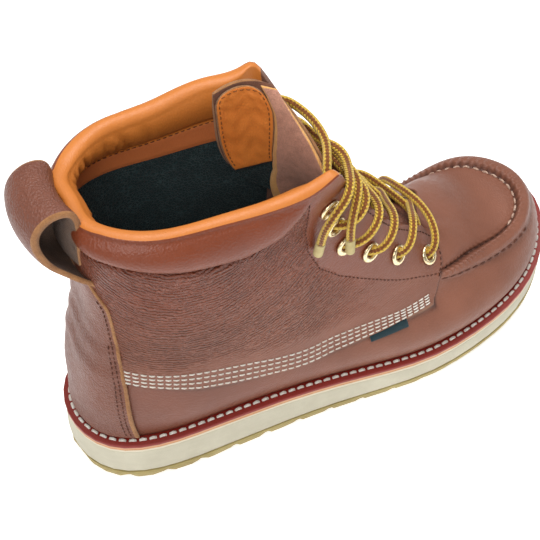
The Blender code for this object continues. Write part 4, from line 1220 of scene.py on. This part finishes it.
def upper_looks(around, level):
    """Stored values for the leather: fold direction, wrinkles, warm colour, cut edges and shade, which is
    painted shade along seams, creases and panel edges, and darkening at the shaft's top and the low heel.
    """
    inside = quarter_inside(around, level)
    at = folded(around)
    above_seam = level - table_at(COLLAR_SEAM, around)
    roll = smoothstep(-2.0, 3.0, above_seam) * (1.0 - smoothstep(122.0, 134.0, at))
    shaft = smoothstep(-0.5, 0.5, inside) * smoothstep(42.0, 56.0, level)
    shaft = shaft * (1.0 - 0.75 * smoothstep(150.0, 212.0, at))
    facing = smoothstep(-2.0, 2.0, level - along_table(STAY_LINE, at)) * smoothstep(123.0, 126.0, at)
    wrinkled = shaft * (1.0 - 0.97 * roll) * (1.0 - facing) * (1.0 - 0.8 * smoothstep(130.0, 178.0, at))
    seam, foot = table_at(PLUG_SEAM, around), table_at(RIDGE_ROW, around)
    share = (level - foot) / (seam - foot)
    uneven = 0.8 + 0.2 * np.sin(2 * math.pi * around / PUCKER_PITCH)
    # Dark line at the toe seam, partly the seam itself and partly painted shade in its crease, uneven with
    # the puckers; painted shade in the crease at the ridge row.
    shade = (0.9 * uneven * bell(share - 1.04, 0.1) + 0.35 * bell(share + 0.02, 0.08)) * toe_share(around)
    # Painted shade in the crease under the collar roll.
    shade += 0.55 * bell(above_seam + 0.6, 1.5) * (1.0 - smoothstep(120.0, 131.0, at))
    # Darker towards the top of the shaft.
    shade += 0.1 * shaft * smoothstep(74.0, 104.0, level)
    low_heel = (1.0 - smoothstep(-0.5, 0.5, inside)) * (1.0 - smoothstep(70.0, 190.0, at))
    # Darker on the low leather round the heel, outside the quarter.
    shade += 0.2 * low_heel
    front = smoothstep(206.0, 212.0, at)
    # Painted shade just outside the quarter's lower and front edges.
    shade += (0.45 + 0.45 * front) * bell(inside + 0.9, 1.0)
    warm = 0.9 * roll + 0.5 * low_heel + shaft * (0.36 + 0.6 * smoothstep(60.0, 104.0, level))
    return {
        "fold": fold_place(around, level),
        "wrinkle": 0.03 * (1.0 - roll) + 0.97 * wrinkled,
        "warm": np.clip(warm, 0.0, 1.0),
        "cut_edge": 0.7 * bell(inside - 0.1, 0.5) * (1.0 - front),
        "shade": np.clip(shade, 0.0, 0.92),
    }


def rim_rows(around, outer, inner):
    """Rows of points over the rim, from the leather's top edge to the lining's."""
    top = np.full(len(around), LEVEL_AT[-1])
    edge = plain_upper(around, top)
    upward = unit(edge - plain_upper(around, top - 3.0))
    middle, half = (outer + inner) / 2, (outer - inner) / 2
    width = np.linalg.norm(half, axis=1)
    medial = medial_place(around)
    lowest = 0.3 * width + FAR_RISE * bell(medial - FAR_PLACE, FAR_WIDTH)
    bulge = np.clip(np.sum((edge - middle) * upward, axis=1), lowest, 1.05 * width + FAR_RISE)
    for height, place, fill_width in FAR_FILL:
        bulge += height * bell(medial - place, fill_width)
    lean = along_table(RIM_LEAN, np.where(around > TOE_AT, around - ROUND, around))
    rows = []
    for share in np.linspace(0.0, 1.0, RIM_ROWS + 2)[1:-1]:
        turn = (math.pi * share**lean)[:, None]
        rows.append(middle + half * np.cos(turn) + upward * bulge[:, None] * np.sin(turn))
    return np.stack(rows, axis=1)


def add_upper():
    """Hollow upper: leather outside, over the rim, lining inside, closed along the feather line."""
    around = upper_stations()
    outer_level = np.append(spaced(OUTER_STEPS), LEVEL_AT[-1])
    inner_level = np.append(spaced(INNER_STEPS), LEVEL_AT[-1])[::-1]
    count = len(around)
    outer_a, outer_v = pairs(around, outer_level)
    outer_v = below_rim(outer_a, outer_v)
    outer = upper_form(outer_a, outer_v).reshape(count, -1, 3)
    inner_a, inner_v = pairs(around, inner_level)
    inner_v = below_rim(inner_a, inner_v)
    inner = lining_form(inner_a, inner_v).reshape(count, -1, 3)
    rings = np.concatenate([outer, rim_rows(around, outer[:, -1], inner[:, 0]), inner], axis=1)
    profile = rings.shape[1]
    column, row = pairs(np.arange(count), np.arange(profile))
    start, following, above = column * profile, (column + 1) % count * profile, (row + 1) % profile
    faces = np.stack([start + row, following + row, following + above, start + above], axis=1)

    outer_rows, inner_start = len(outer_level), len(outer_level) + RIM_ROWS
    inner_at = inner_level[np.clip(row - inner_start, 0, len(inner_level) - 1)]
    inner_top = np.where(row < inner_start, LEVEL_AT[-1], inner_at)
    lined = from_heel(around[column]) < LINING_FRONT
    is_inner = row >= outer_rows + 3
    labels = ("leather", "lining", "mesh", "suede", "strip")
    material = np.zeros(len(row), int)
    material[is_inner & lined] = labels.index("lining")
    material[is_inner & ~lined] = labels.index("suede")
    material[is_inner & lined & (inner_top < LINING_SEAM)] = labels.index("strip")
    material[is_inner & (inner_top < np.where(lined, LINING_STRIP, LINING_FOOT))] = labels.index("mesh")
    material[row == profile - 1] = labels.index("mesh")

    is_outer = np.tile(np.arange(profile) < outer_rows + 4, count)
    rim_level = np.full((count, RIM_ROWS), LEVEL_AT[-1])
    levels = np.concatenate([outer_v.reshape(count, -1), rim_level, inner_v.reshape(count, -1)], axis=1)
    looks = upper_looks(np.repeat(around, profile), levels.ravel())
    for label in ("wrinkle", "warm", "cut_edge", "shade"):
        looks[label] = looks[label] * is_outer
    finishes = [FINISH[label] for label in labels]
    skin = add_mesh("upper_leather", "brown_leather", rings.reshape(-1, 3), faces, finishes, material, looks)
    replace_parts(skin, "upper")


add_upper()


# Parts of a plate, in the order of its finishes
FRONT, RIM, BACK, BACK_LINED = range(4)


def plate_faces(shape):
    """Faces of a closed plate of two grids, the front one first, and whether each is front, rim or back."""
    rows, columns = shape
    total = rows * columns
    faces, parts = [], []
    for i in range(rows - 1):
        for k in range(columns - 1):
            a, d = i * columns + k, i * columns + k + 1
            b, c = a + columns, d + columns
            faces += [(a, b, c, d), (total + a, total + d, total + c, total + b)]
            beside_rim = i in (0, rows - 2) or k in (0, columns - 2)
            parts += [RIM if beside_rim else FRONT, BACK]
    rim = list(range(columns))
    rim += [i * columns + columns - 1 for i in range(1, rows)]
    rim += [(rows - 1) * columns + k for k in range(columns - 2, -1, -1)]
    rim += [i * columns for i in range(rows - 2, 0, -1)]
    for a, b in zip(rim, rim[1:] + rim[:1]):
        faces.append((a, b, total + b, total + a))
        parts.append(RIM)
    return faces, np.array(parts)


def add_plate(name, slot, finishes, shape, front, back, lined=None):
    """Closed leather plate with finishes for its front, its cut rim, its back and the back's lined cells."""
    faces, parts = plate_faces(shape)
    if lined is not None:
        parts[np.flatnonzero(parts == BACK)[lined]] = BACK_LINED
    points = np.concatenate([front, back])
    corner, beside, _, above = points[list(faces[0])]
    if np.cross(beside - corner, above - corner) @ (front[0] - back[0]) < 0.0:
        faces = [face[::-1] for face in faces]
    return add_mesh(name, slot, points, faces, [FINISH[label] for label in finishes], parts)


def edge_fall(shape, reach):
    """How far a plate's front falls toward its rim, for a softly rounded cut edge."""
    rows, columns = shape
    i, k = pairs(np.arange(rows), np.arange(columns))
    near = np.minimum(np.minimum(i, rows - 1 - i), np.minimum(k, columns - 1 - k))
    return np.select([near == 0, near == 1], [1.0, 0.35], 0.0) * reach


def rim_spaced(count, tight):
    """Fractions from 0 to 1 with close rows beside both ends."""
    return np.concatenate([[0.0, tight], np.linspace(3 * tight, 1.0 - 3 * tight, count), [1.0 - tight, 1.0]])


def backstay_half(level):
    """Half width of the strap over the heel seam."""
    plain = BACKSTAY_FOOT + (BACKSTAY_TOP - BACKSTAY_FOOT) * (level / BACKSTAY_LEVEL) ** 0.9
    return plain - 8.0 * smoothstep(84.0, BACKSTAY_LEVEL + 1.0, level)


def add_backstay():
    """Strap over the heel seam with its cut edges showing."""
    level = BACKSTAY_START + (BACKSTAY_LEVEL - BACKSTAY_START) * rim_spaced(60, 0.006)
    share = 2.0 * rim_spaced(34, 0.022) - 1.0
    shape = len(level), len(share)
    around = (backstay_half(level)[:, None] * share[None, :]).ravel()
    up = np.repeat(level, len(share))
    base = plain_upper(around, up)
    normal = upper_normals(around, up)
    sagging = smoothstep(8.0, 26.0, up) * (1.0 - smoothstep(58.0, 80.0, up))
    ripple = 0.1 * np.sin(around / 3.1 + up / 5.0) * np.sin(up / 4.3)
    ripple += 0.3 * np.sin(up / 2.6 + 0.8 * np.sin(around / 8.0)) * sagging
    thick = OVERLAY_GAP + STRAP_LEATHER + ripple - edge_fall(shape, CUT_FALL)
    front = base + normal * thick[:, None]
    back = base + normal * OVERLAY_GAP
    strap = add_plate("backstay_strap", "strap_leather", ("strap", "cut", "suede"), shape, front, back)
    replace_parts(strap, "backstay")


def add_pull_loop():
    """Heel loop: a strap with raw edges that flares where it is sewn down over the backstay."""
    at = rim_spaced(70, 0.004)
    line = spline_matrix(np.arange(len(LOOP), dtype=float), at * (len(LOOP) - 1)) @ np.array(LOOP)
    along = unit(np.gradient(line, axis=0))
    normal = np.column_stack([-along[:, 1], along[:, 0]])
    share = rim_spaced(20, 0.03) - 0.5
    shape = len(line), len(share)
    width = LOOP_WIDTH + LOOP_FLARE * smoothstep(0.78, 1.0, at)
    across = width[:, None] * share[None, :]
    fall = edge_fall(shape, CUT_FALL).reshape(shape)
    tuck = LOOP_TUCK * smoothstep(0.88, 1.0, at)[:, None]
    skins = []
    for offset in (fall - 0.5 * LOOP_LEATHER, 0.5 * LOOP_LEATHER):
        x = line[:, :1] + normal[:, :1] * offset + across**2 / (2 * LOOP_ROUND) + tuck
        z = line[:, 1:] + normal[:, 1:] * offset + np.zeros(shape)
        skins.append(np.stack([x, LOOP_ASIDE + across, z], axis=2).reshape(-1, 3))
    strap = add_plate("pull_loop_strap", "strap_leather", ("strap", "cut", "flesh"), shape, *skins)
    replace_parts(strap, "pull_loop")


# Tongue: edge of the suede wing and the outline of the sewn patch, as (rise, across)
WING_EDGE = (
    (-0.1, 1.0), (0.3, 1.0), (0.4, 1.4), (0.5, 1.28), (0.56, 0.84), (0.62, 0.375), (0.675, 0.113),
    (0.74, -0.1), (0.8, -0.25), (0.875, -0.412), (0.95, -0.5), (1.0, -0.5),
)
WING_FOOT, WING_TOP, WING_LATERAL, WING_LAP = 0.3, 0.985, -0.985, 0.03
PATCH_HEM, PATCH_ROUND, PATCH_TOP, PATCH_MEDIAL = 0.66, 0.9, 0.985, 0.985
PATCH_SQUARE, PATCH_NARROW, HEM_SAG = 2.8, 0.985, 0.014

# Heights above the middle of the tongue: its inner face, then back and front of the wing and the patch
TONGUE_FACE = TONGUE_LEATHER / 2
WING_BACK, WING_FRONT = TONGUE_FACE + 0.15, TONGUE_FACE + 1.9
PATCH_BACK, PATCH_FRONT = TONGUE_FACE + 0.35, TONGUE_FACE + 1.5

# Stitch row on the patch: how far it runs up and aside, and its height above the middle of the tongue
PATCH_ROW_FOOT, PATCH_ROW_TOP, PATCH_ROW_SIDE = 0.05, 0.92, 0.87
PATCH_ROW_RAISED = TONGUE_FACE + 1.6


def tongue_wave(rise, across):
    """Soft unevenness of the tongue's upper half."""
    upper_half = smoothstep(0.45, 0.6, rise) * (1.0 - smoothstep(0.9, 1.0, rise))
    return 0.35 * np.sin(rise * 26.0 + across * 2.0) * np.sin(across * 5.0 + rise * 7.0) * upper_half


def add_tongue_wing():
    """Suede wing laid over the lining along the tongue's lateral side, with its cut edge showing."""
    rise = WING_FOOT + (WING_TOP - WING_FOOT) * rim_spaced(70, 0.006)
    share = np.concatenate([[0.0, 0.012], np.linspace(0.04, 0.84, 26), [0.92, 1.0]])
    shape = len(rise), len(share)
    r, s = pairs(rise, share)
    q = WING_LATERAL + (along_table(WING_EDGE, r) - WING_LAP - WING_LATERAL) * s
    wave = tongue_wave(r, q)
    front = tongue_form(r, q, wave + WING_FRONT - edge_fall(shape, 0.3))
    back = tongue_form(r, q, wave + WING_BACK)
    add_plate("tongue_wing", "tongue_leather", ("wing", "wing_edge", "suede"), shape, front, back)


def add_tongue():
    """Tongue sheet: grain leather in front, suede and mesh lining behind."""
    rise = TONGUE_ROOT + (1.0 - TONGUE_ROOT) * rim_spaced(84, 0.004)
    across = 2.0 * rim_spaced(44, 0.012) - 1.0
    shape = len(rise), len(across)
    r, q = pairs(rise, across)
    wave = tongue_wave(r, q)
    front = tongue_form(r, q, wave + edge_fall(shape, CUT_FALL) - TONGUE_FACE)
    back = tongue_form(r, q, wave + TONGUE_FACE)
    cells_r, cells_q = pairs((rise[1:] + rise[:-1]) / 2, (across[1:] + across[:-1]) / 2)
    lined = (cells_q > along_table(WING_EDGE, cells_r) - 0.14) & (cells_r < PATCH_HEM + 0.02)
    finishes = ("tongue", "cut", "suede", "mesh")
    sheet = add_plate("tongue_sheet", "tongue_leather", finishes, shape, front, back, lined)
    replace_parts(sheet, "tongue")


def patch_place(share, side):
    """Place on the tongue of the sewn patch: share from hem 0 to top 1, side from -1 to 1."""
    hem = PATCH_HEM - HEM_SAG * (1.0 - np.asarray(side) ** 2)
    rise = hem + (PATCH_TOP - hem) * share
    lateral = along_table(WING_EDGE, rise) - 0.02
    turn = np.clip((rise - PATCH_ROUND) / (PATCH_TOP - PATCH_ROUND), 0.0, 1.0)
    narrow = np.clip(1.0 - PATCH_NARROW * turn**PATCH_SQUARE, 0.0, 1.0) ** (1.0 / PATCH_SQUARE)
    middle, half = (lateral + PATCH_MEDIAL) / 2, (PATCH_MEDIAL - lateral) / 2 * narrow
    return rise, middle + half * side


def add_tongue_patch():
    """Lining patch sewn on the tongue's inner face, with a raw edge."""
    share = rim_spaced(50, 0.01)
    side = 2.0 * rim_spaced(30, 0.016) - 1.0
    shape = len(share), len(side)
    s, w = pairs(share, side)
    rise, across = patch_place(s, w)
    rumple = 0.3 * np.sin(12.0 * s + 5.0 * w) * np.sin(6.0 * w - 4.0 * s + 0.7)
    rumple += 0.24 * np.sin(27.0 * s - 5.0 * w + 2.0 * np.sin(5.0 * w)) * np.sin(7.0 * w + 9.0 * s)
    rumple *= smoothstep(0.0, 0.12, s) * (1 - smoothstep(0.85, 1.0, s))
    rumple *= 1 - smoothstep(0.7, 0.95, np.abs(w))
    front = tongue_form(rise, across, PATCH_FRONT + rumple - edge_fall(shape, 0.4))
    back = tongue_form(rise, across, np.full(len(rise), PATCH_BACK))
    add_plate("tongue_patch", "tongue_leather", ("patch", "cut", "suede"), shape, front, back)


add_backstay()
add_pull_loop()
add_tongue()
add_tongue_wing()
add_tongue_patch()


# Eyelets
def model_eyelet(name, centre, normal):
    """Rolled eyelet: a flattened ring and the barrel that goes through the leather."""
    bpy.ops.object.select_all(action="DESELECT")
    ring, wire = (EYELET_RADIUS + EYELET_HOLE) / 2 * MM, (EYELET_RADIUS - EYELET_HOLE) / 2 * MM
    bpy.ops.mesh.primitive_torus_add(
        major_segments=32, minor_segments=12, major_radius=ring, minor_radius=wire, location=(0.0, 0.0, 0.0))
    eyelet = bpy.context.object
    bpy.ops.object.mode_set(mode="EDIT")
    bpy.ops.mesh.select_all(action="SELECT")
    bpy.ops.transform.resize(value=(1.0, 1.0, 0.75))
    bpy.ops.mesh.primitive_cylinder_add(
        vertices=32, radius=(EYELET_HOLE + 0.35) * MM, depth=BARREL_DEPTH * MM, end_fill_type="NOTHING",
        location=(0.0, 0.0, -BARREL_SINK * MM))
    bpy.ops.mesh.solidify(thickness=BARREL_WALL * MM)
    bpy.ops.object.mode_set(mode="OBJECT")
    eyelet.name = eyelet.data.name = name
    eyelet.matrix_world = turned(to_frame(centre + normal * EYELET_LIFT), normal)
    bpy.ops.object.transform_apply(location=True, rotation=True, scale=True)
    bpy.ops.object.shade_smooth_by_angle(angle=math.radians(50))
    eyelet.data.materials.append(FINISH["brass"])
    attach(eyelet, "root")
    return eyelet


def add_eyelets():
    """Both rows of eyelets."""
    for side, frames in eyelet_frames().items():
        for number, (centre, normal, _) in enumerate(frames, 1):
            eyelet = model_eyelet(f"eyelet_{side}_{number}_ring", centre, normal)
            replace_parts(eyelet, f"eyelet_{side}_{number}")


add_eyelets()


# Stitches
STITCH_SIDES = 6

# Rings of one stitch: place as a share of its length, size and height as shares of its radius
STITCH_RINGS = (
    (-0.5, 0.25, -1.1), (-0.4, 0.85, -0.1), (0.0, 1.0, 0.35), (0.4, 0.85, -0.1), (0.5, 0.25, -1.1),
)

# Kinds of stitch as pitch, length and radius
QUARTER_STITCH, EDGE_STITCH, STAY_STITCH = (4.0, 3.3, 0.45), (3.0, 2.0, 0.34), (3.0, 2.0, 0.33)
RIDGE_STITCH, TOE_STITCH, PLUG_STITCH = (5.4, 3.8, 0.48), (5.9, 4.2, 0.72), (4.6, 2.6, 0.6)
LINING_STITCH, STRAP_STITCH = (3.0, 2.0, 0.24), (3.1, 2.1, 0.33)
PATCH_STITCH, WELT_STITCH = (3.0, 2.0, 0.28), (5.2, 4.3, 0.92)

# Rows on the heel strap as (inset, top), and the welt's row
STRAP_ROWS, STRAP_ROW_FOOT = ((3.2, 90.0), (5.4, 62.0)), 6.0
WELT_STITCH_INSET, WELT_STITCH_RAISED = 3.8, 0.25


def stitch_arrays(line, normals, kind):
    """Small arched bars in a row along a line on a surface."""
    pitch, length, radius = kind
    reach = reach_along(line)
    count = max(1, int(reach[-1] / pitch))
    at = (np.arange(count) + 0.5) * reach[-1] / count
    centre = sampled(line, reach, at)
    along = unit(sampled(line, reach, at + 0.4 * length) - sampled(line, reach, at - 0.4 * length))
    side = unit(np.cross(sampled(normals, reach, at), along))
    out = np.cross(along, side)
    turns = np.linspace(0.0, 2 * math.pi, STITCH_SIDES, endpoint=False)
    rings = []
    for part, size, height in STITCH_RINGS:
        base = centre + along * part * length + out * height * radius
        for turn in turns:
            rings.append(base + radius * size * (math.cos(turn) * side + math.sin(turn) * out))
    points = np.stack(rings, axis=1).reshape(-1, 3)
    one = []
    for k in range(len(STITCH_RINGS) - 1):
        for i in range(STITCH_SIDES):
            j = (i + 1) % STITCH_SIDES
            low, high = k * STITCH_SIDES, (k + 1) * STITCH_SIDES
            one.append((low + i, low + j, high + j, high + i))
    last = (len(STITCH_RINGS) - 1) * STITCH_SIDES
    ends = [tuple(reversed(range(STITCH_SIDES))), tuple(last + i for i in range(STITCH_SIDES))]
    size = len(STITCH_RINGS) * STITCH_SIDES
    faces = [tuple(n * size + index for index in face) for n in range(count) for face in one + ends]
    return points, faces


def add_stitches(name, runs, thread, slot):
    """All stitches of one thread as one mesh; a run is its line, normals and kind of stitch."""
    add_mesh(name, slot, *join_runs(stitch_arrays(*run) for run in runs), [FINISH[thread]])


def seam_run(table, side, raised, kind, level_shift=0.0, start=-math.inf, end=math.inf):
    """Stitch run on the leather along a seam table on one side of the boot."""
    table = np.array(table, float)
    reach = reach_along(table)
    at, level = sampled(table, reach, np.linspace(0.0, reach[-1], 600)).T
    kept = (at >= start) & (at <= end)
    at, level = at[kept], level[kept] + level_shift
    around = at if side < 0 else np.interp(at, LATERAL_AT, MEDIAL_AT[::-1])
    return upper_form(around, level, raised), upper_normals(around, level), kind


def between_rows(share):
    """Seam table between the lowest and the highest row of the quarter seam."""
    at = np.linspace(35.6, 208.0, 60)
    low, high = along_table(QUARTER_ROW_LOW, at), along_table(QUARTER_ROW_HIGH, at)
    level = low + share * (high - low)
    inside = at < quarter_front(level) - 1.5
    return np.column_stack([at, level])[inside]


def inside_front(inset):
    """Line inside the quarter's front edge, then back along the throat."""
    table = np.array(QUARTER_FRONT) - np.array([inset, 0.0])
    table = table[(table[:, 1] > 46.0) & (table[:, 1] < 126.0)]
    return np.concatenate([table, THROAT_ROW])


def lining_run(level, kind):
    """Stitch run on the collar's lining, from one front corner round the back to the other."""
    reach = section_at("top_corner", -1)
    around = np.linspace(-reach, reach, 900)
    levels = np.full(len(around), level)
    normals = -upper_normals(around, levels)
    return lining_form(around % ROUND, levels) + 0.15 * normals, normals, kind


def add_upper_stitches():
    """Rows on the quarters, the facings, the toe and the collar's lining, one mesh for each thread."""
    cream, dark, brown = [], [], []
    for side in (-1, 1):
        for row in range(4):
            cream.append(seam_run(between_rows(row / 3.0), side, 0.12, QUARTER_STITCH))
        brown.append(seam_run(STAY_LINE, side, 0.05, STAY_STITCH))
        dark.append(seam_run(inside_front(1.9), side, 0.05, EDGE_STITCH))
        brown.append(seam_run(RIDGE_ROW, side, 0.1, RIDGE_STITCH, 0.0, 219.0, 300.0))
    rose = [seam_run(PLUG_SEAM, -1, 0.35, TOE_STITCH, 2.0, 300.0, 466.0)]
    dark.append(seam_run(PLUG_SEAM, -1, 0.25, PLUG_STITCH, 1.0, 224.0, 305.0))
    brown.append(lining_run(LINING_SEAM - 0.9, LINING_STITCH))
    add_stitches("quarter_stitches", cream, "cream_thread", "brown_leather")
    add_stitches("seam_stitches", dark, "dark_thread", "brown_leather")
    add_stitches("fine_stitches", brown, "brown_thread", "brown_leather")
    add_stitches("toe_stitches", rose, "rose_thread", "brown_leather")


def add_strap_stitches():
    """Rows along both edges of the backstay."""
    runs = []
    for side in (-1, 1):
        for inset, top in STRAP_ROWS:
            level = np.linspace(STRAP_ROW_FOOT, top, 200)
            around = side * -(backstay_half(level) - inset)
            normal = upper_normals(around, level)
            line = plain_upper(around, level) + normal * (OVERLAY_GAP + STRAP_LEATHER + 0.1)
            runs.append((line, normal, STRAP_STITCH))
    add_stitches("backstay_stitches", runs, "brown_thread", "strap_leather")


def add_patch_stitches():
    """Row inside the edge of the tongue patch."""
    up = np.linspace(PATCH_ROW_FOOT, PATCH_ROW_TOP, 80)
    over = np.linspace(PATCH_ROW_SIDE, -PATCH_ROW_SIDE, 60)
    share = np.concatenate([up, np.full(len(over), PATCH_ROW_TOP), up[::-1]])
    side = np.concatenate([np.full(len(up), PATCH_ROW_SIDE), over, np.full(len(up), -PATCH_ROW_SIDE)])
    turn = np.clip((share - 0.8) / 0.15, 0.0, 1.0)
    rise, across = patch_place(share + 0.04 * turn * (1.0 - (side / PATCH_ROW_SIDE) ** 2), side)
    raised = np.full(len(rise), PATCH_ROW_RAISED)
    line = tongue_form(rise, across, raised)
    normal = tongue_form(rise, across, raised + 1.0) - line
    add_stitches("patch_stitches", [(line, normal, PATCH_STITCH)], "rust_thread", "tongue_leather")


def add_welt_stitches():
    """Thick stitches all round the welt."""
    lateral, medial = outline_sides(WELT_STITCH_INSET, end_weighted(400))
    plan = np.concatenate([lateral, medial[-2:0:-1], lateral[:1]])
    line = np.column_stack([plan, welt_top(plan[:, 0]) + WELT_STITCH_RAISED])
    normals = np.tile([0.0, 0.0, 1.0], (len(line), 1))
    add_stitches("welt_stitches", [(line, normals, WELT_STITCH)], "cream_thread", "welt_strip")


add_upper_stitches()
add_strap_stitches()
add_patch_stitches()
add_welt_stitches()


# Tab in the quarter seam: where it runs, how far it hangs and how far its faces stand off the smooth form
TAB_START, TAB_LENGTH = 168.8, 23.2
TAB_BELOW_ROW, TAB_DROP = 1.2, 4.2
TAB_BACK, TAB_FRONT = 0.3, 1.4


def add_tab():
    """Blank fold-over tab caught in the quarter seam."""
    run = TAB_START + TAB_LENGTH * rim_spaced(16, 0.015)
    drop = rim_spaced(7, 0.05)
    shape = len(run), len(drop)
    around, share = pairs(run, drop)
    level = along_table(QUARTER_ROW_LOW, around) - TAB_BELOW_ROW - TAB_DROP * share
    normal = upper_normals(around, level)
    base = plain_upper(around, level)
    fold = TAB_FRONT + 0.4 * np.sin(math.pi * share) - edge_fall(shape, 0.45)
    front = base + normal * fold[:, None]
    back = base + normal * TAB_BACK
    add_plate("seam_tab", "brown_leather", ("tab", "tab", "tab"), shape, front, back)


add_tab()


# Sole layers: smooth copies of the CAD layers as (node, name, finish, bevel, slot)
SOLE_LAYERS = (
    ("tread", "gum_tread_sole", "gum", 0.5, "gum_rubber"),
    ("wedge", "cream_wedge_sole", "wedge", 0.6, "wedge_rubber"),
    ("midsole", "midsole_edge_board", "board", 0.4, "midsole_board"),
    ("welt", "red_welt_strip", "welt", 0.6, "welt_strip"),
)
BEVEL_ANGLE, SMOOTH_ANGLE = 35.0, 40.0

# Layers whose material reads the height in them, as (depth below the welt's top, height)
STORED_RISE = {"midsole": (WELT + MIDSOLE, MIDSOLE), "welt": (WELT, WELT)}


def soften_layer(node, name, material, bevel):
    """Copy of a CAD layer with merged corners, a small bevel and smooth sides."""
    bpy.ops.object.select_all(action="DESELECT")
    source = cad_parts[node]
    layer = source.copy()
    layer.data = source.data.copy()
    layer.name = layer.data.name = name
    layer.parent = None
    layer.matrix_world = source.matrix_world.copy()
    bpy.context.scene.collection.objects.link(layer)
    bpy.context.view_layer.objects.active = layer
    layer.select_set(True)
    bpy.ops.object.transform_apply(location=True, rotation=True, scale=True)
    bpy.ops.object.mode_set(mode="EDIT")
    bpy.ops.mesh.select_all(action="SELECT")
    bpy.ops.mesh.remove_doubles(threshold=0.01 * MM)
    bpy.ops.mesh.customdata_custom_splitnormals_clear()
    bpy.ops.mesh.dissolve_limited(angle_limit=math.radians(1.0))
    bpy.ops.object.mode_set(mode="OBJECT")
    edge = layer.modifiers.new("soft_edge", "BEVEL")
    edge.width, edge.segments, edge.limit_method = bevel * MM, 3, "ANGLE"
    edge.angle_limit = math.radians(BEVEL_ANGLE)
    bpy.ops.object.modifier_apply(modifier=edge.name)
    bpy.ops.object.shade_smooth_by_angle(angle=math.radians(SMOOTH_ANGLE))
    layer.data.materials.clear()
    layer.data.materials.append(material)
    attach(layer, "root")
    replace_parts(layer, node)
    return layer


def store_rise(layer, below, height):
    """Keep each corner's height in a layer for its material, and bed the lowest ones on the layer below."""
    places = np.array([corner.co for corner in layer.data.vertices]) / MM - BOOT_ORIGIN
    rise = (places[:, 2] - welt_top(places[:, 0]) + below) / height
    for corner, share in zip(layer.data.vertices, rise):
        corner.co.z -= 1.2 * GAP * MM * (share < 0.4)
    layer.data.attributes.new("rise", "FLOAT", "POINT").data.foreach_set("value", rise.astype(np.float32))


for node, name, finish, bevel, slot in SOLE_LAYERS:
    layer = soften_layer(node, name, FINISH[finish], bevel)
    if node in STORED_RISE:
        store_rise(layer, *STORED_RISE[node])
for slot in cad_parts["insole"].material_slots:
    slot.material = FINISH["insole"]


# Lights as place, aim, size and power
LIGHTS = {
    "overhead": ((0.1, 0.15, 1.4), (0.0, 0.0, 0.05), 1.0, 16.0),
    "key": ((-0.75, -0.75, 1.2), (0.0, 0.0, 0.1), 0.8, 9.5),
}
WORLD_LIGHT = 0.36
FLOOR_SIZE, FLOOR_GLOW = 8.0, 0.55


def add_floor():
    """Pale floor plane."""
    bpy.ops.object.select_all(action="DESELECT")
    bpy.ops.mesh.primitive_plane_add(size=FLOOR_SIZE, location=(0.0, 0.0, 0.0))
    floor = bpy.context.object
    floor.name = "floor"
    material, tree, shader = new_material(
        "pale_floor", Roughness=0.9, Specular_IOR_Level=0.1, Emission_Strength=FLOOR_GLOW)
    tint = noise(tree, object_place(tree), 0.002, 2.0)
    colour = blend_colours(tree, tint, (0.93, 0.93, 0.93, 1.0), (0.95, 0.95, 0.95, 1.0))
    feed(tree, shader, Base_Color=colour, Emission_Color=colour)
    floor.data.materials.append(material)


def add_light(name, place, aim, size, energy):
    """Round area light turned toward its aim."""
    data = bpy.data.lights.new(name, "AREA")
    data.shape, data.size, data.energy = "DISK", size, energy
    light = bpy.data.objects.new(name, data)
    light.matrix_world = turned(place, Vector(aim) - Vector(place), "-Z")
    bpy.context.scene.collection.objects.link(light)


def add_studio():
    """Lights, white surroundings and plain colours."""
    for name, values in LIGHTS.items():
        add_light(name, *values)
    world = bpy.data.worlds.new("studio")
    world.use_nodes = True
    background = world.node_tree.nodes["Background"]
    background.inputs[0].default_value = (1.0, 1.0, 1.0, 1.0)
    background.inputs[1].default_value = WORLD_LIGHT
    bpy.context.scene.world = world
    bpy.context.scene.view_settings.view_transform = "Standard"


add_floor()
add_studio()
